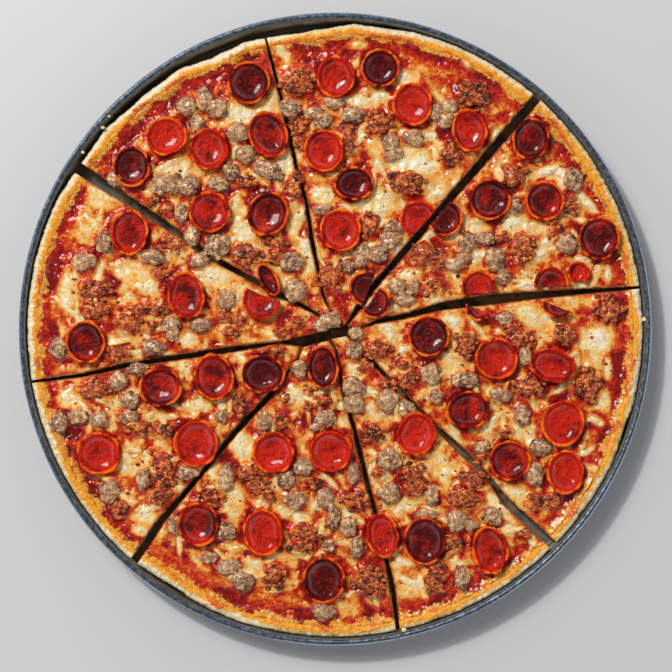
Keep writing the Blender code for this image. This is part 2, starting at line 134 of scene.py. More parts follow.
def grain(start, size, detail=3.0):
    """Noise on the piece's own coordinates, with features of about this size in metres."""
    place = start.make("TexCoord", out="Object")
    sockets = {"Vector": place, "Scale": 1.0 / size, "Detail": detail, "Roughness": 0.6}
    return start.make("TexNoise", None, sockets)


def specks(start, size, share):
    """1 on small round dots that are this size apart, 0 elsewhere."""
    place = start.make("TexCoord", out="Object")
    distance = start.make("TexVoronoi", None, {"Vector": place, "Scale": 1.0 / size})
    return 1.0 - distance.between(share * 0.7, share)


def raised(start, height, distance):
    """A bump from a height of 0 to 1 and how tall that is in metres."""
    return start.make("Bump", None, {"Height": height, "Distance": distance})


def seen(start, name):
    """A value that the mesh stores at each of its points."""
    return start.make("Attribute", {"attribute_name": name}, out="Fac")


def scaled(colour, share):
    """A colour made lighter or darker."""
    return tuple(channel * share for channel in colour)


def added(name, data):
    """A new object in the scene, with this mesh, lamp or camera."""
    thing = bpy.data.objects.new(name, data)
    bpy.context.scene.collection.objects.link(thing)
    return thing


floor_mesh = bpy.data.meshes.new("floor")
bm = bmesh.new()
bmesh.ops.create_grid(bm, x_segments=1, y_segments=1, size=FLOOR_SIZE / 2)
bm.to_mesh(floor_mesh)
bm.free()
added("floor", floor_mesh)
floor_finish, start = new_finish("floor", roughness=0.45)
wire(start, base_color=grain(start, 0.4, 4.0).tinted(FLOOR_COLOUR, scaled(FLOOR_COLOUR, FLOOR_DIM)))
floor_mesh.materials.append(floor_finish)

LAMP_PLACE = Vector((-1.30, 1.55, 2.95))
LAMPS = {"window": (1.50, 46.0), "sun in the window": (0.26, 52.0)}
LAMP_COLOUR = (1.0, 0.97, 0.92)
FILL_OVERHEAD = (0.085, 0.085, 0.090)
FILL_SIDES = (1.04, 1.06, 1.10)
for name, (size, power) in LAMPS.items():
    lamp_data = bpy.data.lights.new(name, "AREA")
    lamp_data.shape = "DISK"
    lamp_data.size = size
    lamp_data.energy = power
    lamp_data.color = LAMP_COLOUR
    lamp = added(name, lamp_data)
    lamp.location = LAMP_PLACE
    lamp.rotation_mode = "QUATERNION"
    lamp.rotation_quaternion = (-LAMP_PLACE).to_track_quat("-Z", "Y")
world = bpy.data.worlds.new("soft room")
world.use_nodes = True
sky = Shade(world.node_tree)
upwards = sky.make("SeparateXYZ", None, {0: sky.make("TexCoord")}, "Z")
fill = upwards.between(0.20, 0.85).tinted(FILL_SIDES, FILL_OVERHEAD)
world.node_tree.links.new(fill.socket, world.node_tree.nodes["Background"].inputs["Color"])
bpy.context.scene.world = world
bpy.context.scene.view_settings.view_transform = "Standard"

# The camera looks straight down from above the middle of the photograph's frame.
# Its lens takes in the width that the photograph shows at the rim's level.
VIEW_MIDDLE = (0.00065, -0.00455)
VIEW_WIDTH = 0.4368
VIEW_HEIGHT = 1.6
SENSOR = 36.0
RIM_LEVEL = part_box("pan")[1].z
camera_data = bpy.data.cameras.new("camera")
camera_data.sensor_width = SENSOR
camera_data.lens = SENSOR * VIEW_HEIGHT / VIEW_WIDTH
camera = added("camera", camera_data)
camera.location = (*VIEW_MIDDLE, RIM_LEVEL + VIEW_HEIGHT)
bpy.context.scene.camera = camera

# The pan: one sheet of dark seasoned steel, spun into a flat floor, a low wall
# that leans out a little, and a rolled bead round the rim. Fat has baked brown
# onto its inner wall, and the bead is flecked with rust. A painted highlight runs
# round the bead's outer edge, the upper inner wall is painted pale as if lit, and
# the floor is painted dark as shade, darkest under the middle of the pizza.
PAN_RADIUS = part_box("pan")[1].x
BEAD = 0.0020
SHEET = 0.0012
LEAN = 0.0012
PAN_STEPS = 256


def finished(name, bm, finish, slot, *nodes):
    """Turns a bmesh into a smooth piece that rides on the body and stands for these nodes."""
    mesh = bpy.data.meshes.new(name)
    bm.to_mesh(mesh)
    bm.free()
    mesh.materials.append(finish)
    mesh.shade_smooth()
    piece = added(name, mesh)
    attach(piece, "root")
    if nodes:
        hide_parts(*nodes)
    return piece


bead = Vector((PAN_RADIUS - BEAD, RIM_LEVEL - BEAD))
foot = PAN_RADIUS - 2 * BEAD - LEAN
profile = [Vector(point) for point in (
    (0.0, SHEET), (foot * 0.5, SHEET), (foot - 0.0020, SHEET), (foot - 0.0006, SHEET + 0.0003),
    (foot, SHEET + 0.0014), (foot + LEAN * 0.5, bead.y * 0.55), (bead.x - BEAD * 0.98, bead.y - 0.0006))]
for degrees in range(170, -151, -20):
    turn = math.radians(degrees)
    profile.append(bead + Vector((math.cos(turn), math.sin(turn))) * BEAD)
profile += [Vector(point) for point in (
    (foot + LEAN + 0.0010, bead.y - 0.0030), (foot + SHEET + 0.0002, 0.0030), (foot + SHEET, 0.0016),
    (foot + SHEET * 0.6, 0.0004), (foot - 0.0010, 0.0), (foot * 0.5, 0.0), (0.0, 0.0))]
bm = bmesh.new()
points = [bm.verts.new((x, 0.0, z)) for x, z in profile]
edges = [bm.edges.new(pair) for pair in zip(points[:-1], points[1:])]
bmesh.ops.spin(bm, geom=points + edges, cent=(0, 0, 0), axis=(0, 0, 1), angle=math.tau,
               steps=PAN_STEPS, use_merge=True)
bmesh.ops.remove_doubles(bm, verts=bm.verts, dist=1e-6)
bmesh.ops.recalc_face_normals(bm, faces=bm.faces)

STEEL = (0.050, 0.068, 0.090)
STEEL_HIGHLIGHT = (0.66, 0.70, 0.76)
STEEL_WALL_LIT = (0.46, 0.44, 0.40)
STEEL_FLOOR_SHADE = (0.10, 0.11, 0.12)
STEEL_GAP_SHADE = (0.035, 0.020, 0.013)
BAKED_FAT = (0.20, 0.14, 0.08)
RUST = (0.20, 0.055, 0.012)
steel, start = new_finish("seasoned steel")
place = start.make("TexCoord", out="Object")
flat = start.make("VectorMath", {"operation": "MULTIPLY"}, {0: place, 1: (1.0, 1.0, 0.0)})
radius = start.make("VectorMath", {"operation": "LENGTH"}, {0: flat}, "Value")
height = start.make("SeparateXYZ", None, {0: place}, "Z")
rings = start.make("TexNoise", {"noise_dimensions": "1D"}, {"W": radius, "Scale": 2600.0, "Detail": 2.0})
# Painted highlight: a bright band round the bead's outer edge, broken by the brushed rings and by noise.
bead_highlight = radius.between(PAN_RADIUS - 0.0012, PAN_RADIUS - 0.0003) * rings.between(0.30, 0.6)
bead_highlight = bead_highlight * (0.45 + 0.55 * grain(start, 0.11, 2.0).between(0.40, 0.56))
inner = 1.0 - radius.between(PAN_RADIUS - 0.0046, PAN_RADIUS - 0.0036)
baked = inner * grain(start, 0.012).between(0.38, 0.62)
rust = specks(start, 0.0045, 0.16) * grain(start, 0.05).between(0.46, 0.6)
on_bead = height.between(RIM_LEVEL - 0.0050, RIM_LEVEL - 0.0030)
mottled = grain(start, 0.0028).between(0.42, 0.66) * (0.18 + 0.82 * on_bead)
mottled = mottled.tinted(STEEL, scaled(STEEL, 3.0))
# Painted light and shade: the inner wall pales towards the top as if lit, and the floor is dark as if shaded.
wall = height.between(0.003, 0.009).tinted(STEEL_FLOOR_SHADE, STEEL_WALL_LIT)
colour = inner.tinted(bead_highlight.tinted(mottled, STEEL_HIGHLIGHT), wall)
# Painted shade: the floor under the middle of the pizza, seen only down the narrow cuts, is dark brown.
colour = (1.0 - radius.between(0.150, 0.192)).tinted(colour, STEEL_GAP_SHADE)
colour = baked.tinted(colour, BAKED_FAT)
wire(start, base_color=rust.tinted(colour, RUST), metallic=(0.75 - 0.7 * inner) * (1.0 - 0.6 * rust),
     roughness=0.30 + 0.25 * grain(start, 0.004) + 0.15 * baked, normal=raised(start, rings, 0.00006))
finished("steel_pan", bm, steel, "pan_steel", "pan")

# The pizza is cut into eight slices by straight strokes of a wheel, so each has two
# cut sides and a stretch of the pizza's edge. The slices have slid apart a little, so
# a gap runs between each two of them.
MM = 0.001
CUTS = {  # points going outwards from the middle, with the width of the gap there
    1: [(4.8, 1.5, 0.7), (-4, 14, 0.7), (-8, 22, 1.6), (-10.5, 36, 2.0), (-15.5, 60, 2.8), (-19, 84, 2.2),
        (-25.5, 107, 2.0), (-32, 138, 2.4), (-37.5, 160, 2.0), (-45.2, 189.5, 1.5)],
    2: [(8, 3, 1.2), (11.8, 9, 3.0), (25.5, 28, 4.0), (57.3, 64.5, 4.4), (132, 151.2, 6.3)],
    3: [(9.5, 1, 0.7), (17, 1.2, 0.7), (30, 5.5, 2.5), (48, 9, 3.5), (70, 15, 5.0), (100, 19.3, 7.0),
        (140, 23, 4.5), (198.5, 27.2, 1.8)],
    4: [(8.5, -4.2, 1.6), (25.5, -22.7, 2.5), (66.4, -64.5, 2.5), (83.6, -80.5, 4.5), (97, -93, 2.5),
        (112, -113, 5.0), (143.6, -142.2, 6.0)],
    5: [(-3.5, -7.2, 1.5), (0.5, -12, 2.6), (2, -24, 1.4), (5, -40, 1.8), (12.5, -65, 3.0),
        (21.8, -103.6, 3.2), (27, -122, 2.5), (33, -149, 2.2), (37.5, -168, 3.5), (41.2, -196.8, 2.6)],
    6: [(-22, -12, 1.2), (-24.5, -20, 1.2), (-44, -45, 3.5), (-66, -68, 4.0), (-83, -89.5, 2.5),
        (-101, -110.5, 3.5), (-115, -127, 5.0), (-131, -151.5, 5.6)],
    7: [(-5, -3.6, 5.0), (-14, -6, 6.0), (-26, -8.5, 5.5), (-37, -9, 0.9), (-47, -10.5, 2.5),
        (-70, -13.6, 4.0), (-119, -21, 3.2), (-137, -23.8, 3.2), (-164.5, -30, 2.4), (-199.4, -34.7, 1.8)],
    8: [(-3.5, 0.6, 1.5), (-9, 8, 1.6), (-15.5, 12, 2.5), (-49, 29.5, 3.5), (-79, 46, 3.5),
        (-113.6, 70, 5.0), (-167.5, 105, 7.6)],
}
SLICES = {  # the cuts before and after it, how much of the last its tip leaves out, and its edge
    "a": (8, 1, 0, [(-150, 129), (-125, 152), (-101, 169.5), (-80, 176), (-59, 187)]),
    "b": (1, 2, 0, [(-20, 193.5), (12, 198.5), (50, 193.5), (80, 186), (103, 173), (115, 163.5)]),
    "c": (2, 3, 0, [(152, 139), (174, 115), (188, 83), (196.5, 52)]),
    "d": (3, 4, 0, [(201, 3), (199.5, -24), (195, -46), (182, -88), (170, -108), (156, -129)]),
    "e": (4, 5, 0, [(133.6, -153.6), (115.5, -166.4), (97, -178), (79, -186.4), (60, -191.5)]),
    "f": (5, 6, 0, [(21, -199.5), (-6, -201), (-33, -197.5), (-60, -192.7), (-80, -183.6), (-119, -159)]),
    "g": (6, 7, 2, [(-146, -142), (-159, -130), (-175, -110), (-186, -90), (-193, -70), (-199, -50)]),
    "h": (7, 8, 0, [(-200.5, -5), (-199.5, 20), (-196, 45), (-187, 71), (-180, 86)]),
}
EDGE_LIMIT = 0.2007
EDGE_WIDTH = 0.0080
GAP = 0.0003
CHEESE_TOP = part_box("pepperoni_a1")[0].z - GAP
CHEESE_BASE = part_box("cheese_a")[0].z
EDGE_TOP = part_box("crust_a")[1].z
DOUGH_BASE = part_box("crust_a")[0].z


def lengths(steps):
    """How long each of these flat steps is."""
    return np.linalg.norm(steps, axis=1)


def along(points, shares):
    """Points at these shares of the length of a line of points."""
    passed = np.concatenate(([0.0], np.cumsum(lengths(np.diff(points, axis=0)))))
    return np.stack([np.interp(shares * passed[-1], passed, points[:, i]) for i in (0, 1)], axis=-1)


def cut_side(cut, clockwise):
    """One side of a cut's gap, from the tip outwards."""
    line = np.array(CUTS[cut], float) * MM
    ahead = np.gradient(line[:, :2], axis=0)
    across = np.stack([ahead[:, 1], -ahead[:, 0]], axis=-1)
    across *= line[:, 2:] / 2 / lengths(across)[:, None]
    return line[:, :2] + (across if clockwise else -across)


def slice_sides(name):
    """The two cut sides of a slice and its outer edge."""
    before, after, skipped, edge = SLICES[name]
    first, last = cut_side(before, True), cut_side(after, False)[skipped:]
    outer = np.concatenate((first[-1:], np.array(edge) * MM, last[-1:]))
    outer *= np.minimum(1.0, EDGE_LIMIT / lengths(outer)[:, None])
    first[-1], last[-1] = outer[0], outer[-1]
    return first, last, outer


def slice_places(sides, across, out, inset):
    """Places on a slice: 0 to 1 across it, 0 to 1 out from its tip, less a distance."""
    first, last, outer = sides
    a = across[:, None]
    tip = first[0] * (1 - a) + last[0] * a
    rim = along(outer, across)
    o = (out - inset / lengths(rim - tip))[:, None]
    corners = tip * (1 - o) + (outer[0] * (1 - a) + outer[-1] * a) * o
    sideways = along(first, o[:, 0]) * (1 - a) + along(last, o[:, 0]) * a
    return tip * (1 - o) + rim * o + sideways - corners


def rough(places, size, seed):
    """Noise of -1 to 1 at flat places, with features of about this size in metres."""
    scale = 1.0 / size
    return np.array([noise.noise((x * scale, y * scale, seed)) for x, y in places.tolist()])


def eased(values, low, high):
    """0 below low, 1 above high, smooth between them; the other way round if low is larger."""
    share = np.clip((values - low) / (high - low), 0.0, 1.0)
    return share * share * (3 - 2 * share)


def sheet_over(columns, rows):
    """A square grid of points, with each one's place across and its row."""
    bm = bmesh.new()
    bmesh.ops.create_grid(bm, x_segments=columns, y_segments=rows, size=1.0)
    flat = np.array([vert.co[:2] for vert in bm.verts])
    return bm, (flat[:, 0] + 1) / 2, np.rint((flat[:, 1] + 1) / 2 * rows).astype(int)


def extruded(bm, rim):
    """Extrudes an open rim, and gives the new edges and the new points."""
    grown = bmesh.ops.extrude_edge_only(bm, edges=rim)["geom"]
    kinds = (bmesh.types.BMEdge, bmesh.types.BMVert)
    return [[item for item in grown if isinstance(item, kind)] for kind in kinds]


WOBBLE_SIZE = 1 / 300


def walled(bm, places, heights, levels, drawn_in, seed):
    """Lays a sheet on these places, and carries its edge down, unevenly, to a closed base."""
    for vert, (x, y), z in zip(bm.verts, places.tolist(), heights.tolist()):
        vert.co = (x, y, z)
    rim = [edge for edge in bm.edges if edge.is_boundary]
    for level in levels:
        rim, grown = extruded(bm, rim)
        for vert in grown:
            wobble = noise.noise(Vector((vert.co.x, vert.co.y, level)) / WOBBLE_SIZE + Vector((seed, 0, 0)))
            inwards = 1.0 - drawn_in * (0.5 + 0.5 * wobble) / max(vert.co.xy.length, 0.02)
            vert.co = (vert.co.x * inwards, vert.co.y * inwards, level)
    bmesh.ops.edgeloop_fill(bm, edges=rim)
    bmesh.ops.recalc_face_normals(bm, faces=bm.faces)


def stored(piece, name, values):
    """Keeps a value for each of a piece's first points, and 0 for the rest."""
    attribute = piece.data.attributes.new(name, "FLOAT", "POINT")
    whole = np.zeros(len(piece.data.vertices), np.float32)
    whole[:len(values)] = values
    attribute.data.foreach_set("value", whole)


# Each slice's crust is baked dough: a flat base under the sauce, and a raised edge
# about 8 mm wide. Its top is golden and pebbly with small blisters, and its outer
# side is pale and floury, where it leaned against the pan's wall.
CRUST_COLUMNS = 190
CRUST_PROFILE = [  # (distance in from the edge, height) in millimetres
    (8.0, 15.0), (7.9, 17.6), (7.6, 19.2), (7.0, 20.3), (6.4, 21.0), (5.8, 21.4), (5.2, 21.7), (4.6, 21.9),
    (4.0, 22.0), (3.4, 22.0), (2.8, 21.9), (2.2, 21.7), (1.7, 21.4), (1.2, 20.9), (0.8, 20.2), (0.5, 19.3),
    (0.25, 18.0), (0.1, 16.2), (0.0, 14.0)]
BASE_ROWS = 20
BASE_REACH = 0.95
PEBBLE_HEIGHT = 0.0013
SWELL_HEIGHT = 0.0011
BASE_LEVELS = (0.0105, 0.0070, 0.0035, DOUGH_BASE)
FLOURY = (1.0, 0.90, 0.64)
PALE_DOUGH = (1.0, 0.76, 0.34)
GOLD_DOUGH = (1.0, 0.40, 0.022)
TOASTED = (0.55, 0.12, 0.010)
GLAZE = (0.92, 0.25, 0.018)
GLAZE_DARK = (0.56, 0.030, 0.005)

dough, start = new_finish("baked dough", coat_roughness=0.16, specular_ior_level=0.25)
bake = seen(start, "bake")
blister = grain(start, 0.0032)
mottle = grain(start, 0.0012)
specked = grain(start, 0.0007, 2.0)
gold = (bake + (blister - 0.5) * 1.3 + (mottle - 0.5) * 0.9).between(0.12, 0.58)
toast = (bake * 0.30 + blister * 0.8 + (specked - 0.5) * 1.1).between(0.78, 0.92)
floury = (seen(start, "flour") + (blister - 0.5) * 1.7 + (mottle - 0.5) * 1.1).between(0.34, 0.60)
glazed = (seen(start, "glaze") + (blister - 0.5) * 1.6 + (mottle - 0.5) * 0.6).between(0.42, 0.64)
colour = gold.tinted(PALE_DOUGH, GOLD_DOUGH)
colour = (toast * 0.75).tinted(colour, TOASTED)
colour = floury.tinted(colour, FLOURY)
colour = glazed.tinted(colour, mottle.between(0.35, 0.6).tinted(GLAZE_DARK, GLAZE))
relief = blister * 0.8 + mottle * 0.6 + specked * 0.2
wire(start, base_color=colour, roughness=0.62 - 0.34 * glazed, coat_weight=0.25 + glazed * 0.5,
     normal=raised(start, relief, 0.0014))

edge_insets, edge_levels = np.array(CRUST_PROFILE).T * MM
for index, name in enumerate(SLICES):
    sides = slice_sides(name)
    rows = BASE_ROWS + len(CRUST_PROFILE) - 1
    bm, across, row = sheet_over(CRUST_COLUMNS, rows)
    on_base, edge_row = row < BASE_ROWS, np.clip(row - BASE_ROWS, 0, None)
    out = np.where(on_base, row / BASE_ROWS * BASE_REACH, 1.0)
    inset, level = np.where(on_base, 0.0, edge_insets[edge_row]), edge_levels[edge_row]
    places = slice_places(sides, across, out, inset)
    on_edge = row > BASE_ROWS
    pebbles = rough(places, 0.0036, index) * 0.65 + rough(places, 0.0017, index + 9) * 0.5
    swell = rough(places, 0.014, index + 20)
    crest = eased(level, 0.0160, 0.0205)
    level = level + np.where(on_edge, crest * (pebbles * PEBBLE_HEIGHT + swell * SWELL_HEIGHT - 0.0003), 0.0)
    outwards = places / lengths(places)[:, None]
    bulge = 0.0009 - 0.0008 * swell
    push = np.where(on_edge, pebbles * 0.0006 + bulge * eased(inset, 0.004, 0.0005), 0.0)
    push = np.where(row == rows, bulge, push)
    push = np.minimum(push, EDGE_LIMIT - lengths(places))
    places = places + outwards * push[:, None]
    walled(bm, places, np.minimum(level, EDGE_TOP + 0.0008), BASE_LEVELS, 0.0008, index)
    crust = finished("baked_crust_" + name, bm, dough, "baked_dough", "crust_" + name)
    stored(crust, "bake", np.clip(eased(inset, 0.0006, 0.0045) * 0.8 + 0.2 * pebbles + 0.25 * swell, 0, 1))
    bare_to = np.maximum(0.0034 + 0.0040 * rough(places, 0.045, index + 60), 0.0012)
    stored(crust, "flour", 0.74 * (1.0 - eased(inset / bare_to, 0.25, 1.35)) + 0.10 * swell)
    stored(crust, "glaze", np.where(on_edge, eased(inset + 0.0060 * swell, 0.0035, 0.0085) * 0.9, 1.0))

# Each slice's bed is tomato sauce under melted cheese. The cheese is patchy: thick and
# cream coloured where shreds lay, thin and orange with oil over the sauce, and missing
# near the crust, where the sauce shows red.
CREAM_PATCHES = [  # (x, y, width, depth, turn in degrees, how cream, how raised)
    (-105, 105, 24, 11, 25, 0.8, 0.6), (-65, 144, 12, 20, -30, 0.9, 0.6), (-60, 140, 26, 14, -25, 1.0, 0.9),
    (-32, 108, 12, 18, 10, 1.0, 0.9), (-17, 52, 11, 20, 10, 1.0, 0.9), (-59, 64, 16, 14, 0, 1.0, 0.9),
    (-88, 103, 26, 12, 20, 0.7, 0.5), (-45, 144, 18, 12, -20, 0.9, 0.6), (-63, 76, 10, 18, 10, 0.8, 0.6),
    (-28, 70, 10, 22, 10, 0.9, 0.7), (-30, 30, 10, 14, 20, 0.6, 0.4), (-95, 118, 16, 10, 0, 0.5, 0.4),
    (16, 148, 16, 9, 0, 0.9, 0.7), (16, 185, 14, 7, 0, 0.7, 0.5), (47, 163, 14, 10, -20, 1.0, 1.0),
    (-34, 180, 7, 18, 30, 0.9, 0.6), (-8, 87, 13, 12, 0, 1.0, 0.9), (51, 107, 30, 22, -20, 1.0, 1.0),
    (30, 83, 18, 20, 0, 0.9, 0.8), (28, 117, 12, 14, 0, 0.7, 0.8), (85, 176, 6, 16, 20, 0.8, 0.6),
    (8, 78, 10, 8, 0, 0.7, 0.5), (66, 92, 14, 16, -30, 0.8, 0.6), (30, 152, 10, 9, 0, 0.7, 0.4),
    (138.5, 103, 6, 24, -70, 1.0, 1.0), (147, 98, 6, 20, 0, 1.0, 0.9), (164.5, 82.5, 6, 20, 40, 1.0, 0.8),
    (136.7, 55, 7, 30, -36, 1.0, 1.0), (162, 45.5, 10, 4, 0, 1.0, 0.8), (178, 36.4, 4, 9, 0, 0.9, 0.6),
    (47, 33, 12, 10, 0, 0.9, 0.7), (65, 17, 11, 8, 0, 0.9, 0.7), (118, 70, 18, 14, -20, 0.8, 0.6),
    (110, 108, 12, 14, 0, 0.6, 0.4), (95, 67, 16, 9, 0, 0.7, 0.5), (130, 66, 14, 10, 0, 0.8, 0.6),
    (172, -7, 22, 17, -15, 1.0, 1.0), (168, -20, 12, 10, 0, 0.8, 0.8), (178, -26, 6, 16, 0, 0.9, 0.8),
    (175.5, -47, 8, 15, 5, 0.9, 0.8), (171, -60, 12, 6, -30, 0.9, 0.8), (163.6, -80, 12, 4, 30, 1.0, 0.9),
    (169, -91, 16, 6, -20, 0.8, 0.7), (166, -101, 10, 12, 0, 0.8, 0.7), (161, -110, 5, 5, 0, 0.9, 0.6),
    (75.5, 4.5, 16, 9, -10, 1.0, 0.9), (126, 10, 22, 15, -35, 0.7, 1.0), (34.5, 1, 12, 6, 0, 1.0, 0.7),
    (119, -106, 14, 12, 0, 0.6, 0.6), (75, -22, 18, 14, 0, 0.7, 0.5), (122, -68, 16, 20, 20, 0.7, 0.6),
    (95, -65, 16, 10, 0, 0.8, 0.6), (139, -5, 14, 9, 0, 0.7, 0.6), (80, -15, 10, 12, 0, 0.8, 0.5),
    (12, -26, 10, 12, 0, 0.8, 0.7), (48, -114.5, 12, 9, 0, 0.8, 0.6), (47, -171, 16, 9, 0, 0.6, 0.5),
    (90, -148, 9, 12, 0, 0.8, 0.6), (107.5, -116.5, 6, 26, 42, 1.0, 0.9), (112.7, -131, 9, 8, 0, 0.9, 0.7),
    (128.6, -138, 5, 9, 20, 0.9, 0.7), (72, -97, 7, 15, 0, 0.7, 0.9), (40, -118, 9, 14, 0, 0.7, 0.5),
    (23, -53, 9, 12, 0, 0.6, 0.4), (66, -84, 12, 10, 0, 0.7, 0.5), (33, -98, 8, 8, 0, 0.7, 0.5),
    (-60, -77, 17, 15, 0, 1.0, 0.8), (-26, -44, 12, 12, 0, 1.0, 0.9), (8, -183, 20, 8, 0, 0.6, 0.5),
    (-22, -123, 12, 7, 0, 0.9, 0.7), (4, -50, 6, 5, 0, 1.0, 0.9), (-66, -108, 12, 14, 20, 0.8, 0.6),
    (-33, -118, 10, 9, 0, 0.8, 0.6), (-54, -156, 14, 10, 0, 0.7, 0.5), (-30, -150, 10, 9, 0, 0.6, 0.5),
    (-124, -122, 12, 12, 0, 0.9, 0.7), (-128, -131, 12, 8, 0, 0.8, 0.6), (-135, -85, 22, 18, 0, 0.2, 0.4),
    (-174, -45, 14, 12, 0, 0.9, 0.7), (-95, -55, 12, 12, 0, 0.7, 0.5), (-60, -30, 10, 9, 0, 0.6, 0.4),
    (-100, -24, 12, 8, 0, 0.7, 0.5), (-145, -48, 10, 9, 0, 0.6, 0.4), (-84, -50, 8, 9, 0, 0.8, 0.6),
    (-162, 66, 24, 17, -25, 0.2, 0.5), (-174, 25, 11, 20, -10, 0.8, 0.7), (-79, 34, 22, 14, -25, 1.0, 0.9),
    (-128, 32, 24, 12, -20, 0.7, 0.6), (-98, -6, 14, 9, 0, 0.8, 0.6), (-152, 86, 20, 14, -30, 0.7, 0.5),
    (-122, 28, 14, 10, 0, 0.8, 0.7), (-60, 26, 14, 9, -20, 0.6, 0.5), (-140, 40, 10, 8, 0, 0.7, 0.5),
]
SAUCE_SPOTS = [  # (x, y, width, depth, turn)
    (184, -32, 13, 60, 8), (177, -70, 14, 40, 25), (166, -97, 12, 26, 30), (150, -108, 12, 16, 30),
    (181, 14, 22, 20, 0), (188, 50, 8, 40, 14), (178, 80, 12, 30, 25), (152, 118, 20, 16, 45),
    (60, 180, 40, 11, -18), (95, 166, 26, 12, -30), (20, 180, 30, 9, 0), (-16, 180, 18, 12, 10),
    (-80, 163, 28, 9, 25), (-110, 147, 26, 9, 38), (-134, 124, 22, 8, 45), (-60, 174, 18, 8, 15),
    (-170, 84, 12, 20, -30), (-183, 40, 10, 36, -12), (-158, 50, 10, 10, 0), (-183, -5, 8, 22, 0),
    (-178, -78, 10, 26, 20), (-158, -108, 11, 22, 35), (-136, -134, 10, 20, 42), (-170, -68, 10, 14, 0),
    (-100, -148, 24, 8, -38), (-66, -176, 30, 8, -20), (-22, -186, 30, 8, -4), (24, -184, 20, 8, 0),
    (70, -176, 20, 9, 16), (100, -163, 22, 8, 28), (128, -146, 18, 7, 40), (56, -183, 12, 8, 10),
    (-146, 96, 10, 12, 0), (-20, 62, 8, 10, 0), (24, 40, 8, 10, 0), (104, 70, 9, 12, 0),
    (60, -20, 14, 10, 0), (148, -45, 12, 10, 0), (157, -70, 10, 16, 0), (40, -30, 10, 10, 0),
    (-20, -60, 10, 14, 0), (-70, -85, 10, 16, 30), (-100, -60, 10, 12, 0), (-62, -52, 9, 14, 0),
    (-146, 30, 12, 14, 0), (-110, 30, 10, 14, 0), (-90, 62, 12, 8, -20), (-50, 90, 12, 9, 0),
    (10, 132, 12, 12, 0), (-10, 170, 10, 9, 0), (70, 128, 12, 10, 0), (70, -135, 10, 12, 0),
]
CHEESE_NODES = ["cheese_" + name for name in SLICES]
BED_COLUMNS = 168
BED_ROWS = 216
BED_LAP = 0.0022
BED_LEVELS = (0.0185, 0.0170, CHEESE_BASE)
CUT_EDGE = 0.0022
SHREDS = 46
SHRED_WIDTHS = (2.6, 4.4)
SHRED_LENGTHS = (9, 19)


def covered(places, patch, wobble, softness):
    """How far places are under an oval patch, with an uneven edge."""
    x, y, width, depth, turn = patch[:5]
    turn = math.radians(turn)
    dx, dy = (places - np.array((x, y)) * MM).T
    sideways = (dx * math.cos(turn) + dy * math.sin(turn)) / (width * MM / 2)
    forwards = (dy * math.cos(turn) - dx * math.sin(turn)) / (depth * MM / 2)
    return eased(np.hypot(sideways, forwards) + wobble, 1.0 + softness, 1.0 - softness)


def cup_size(node):
    """A cup's middle, width, depth and turn, read from its solid's points."""
    points = np.array([vert.co[:2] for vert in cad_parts[node].data.vertices])
    middle = (points.max(0) + points.min(0)) / 2
    axes = np.linalg.eigh(np.cov((points - middle).T))[1]
    turned = (points - middle) @ axes
    width, depth = np.ptp(turned, axis=0)
    return middle, width, depth, math.atan2(axes[1, 0], axes[0, 0])


CUP_SIZES = {node: cup_size(node) for node in sorted(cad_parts) if node.startswith("pepperoni_")}
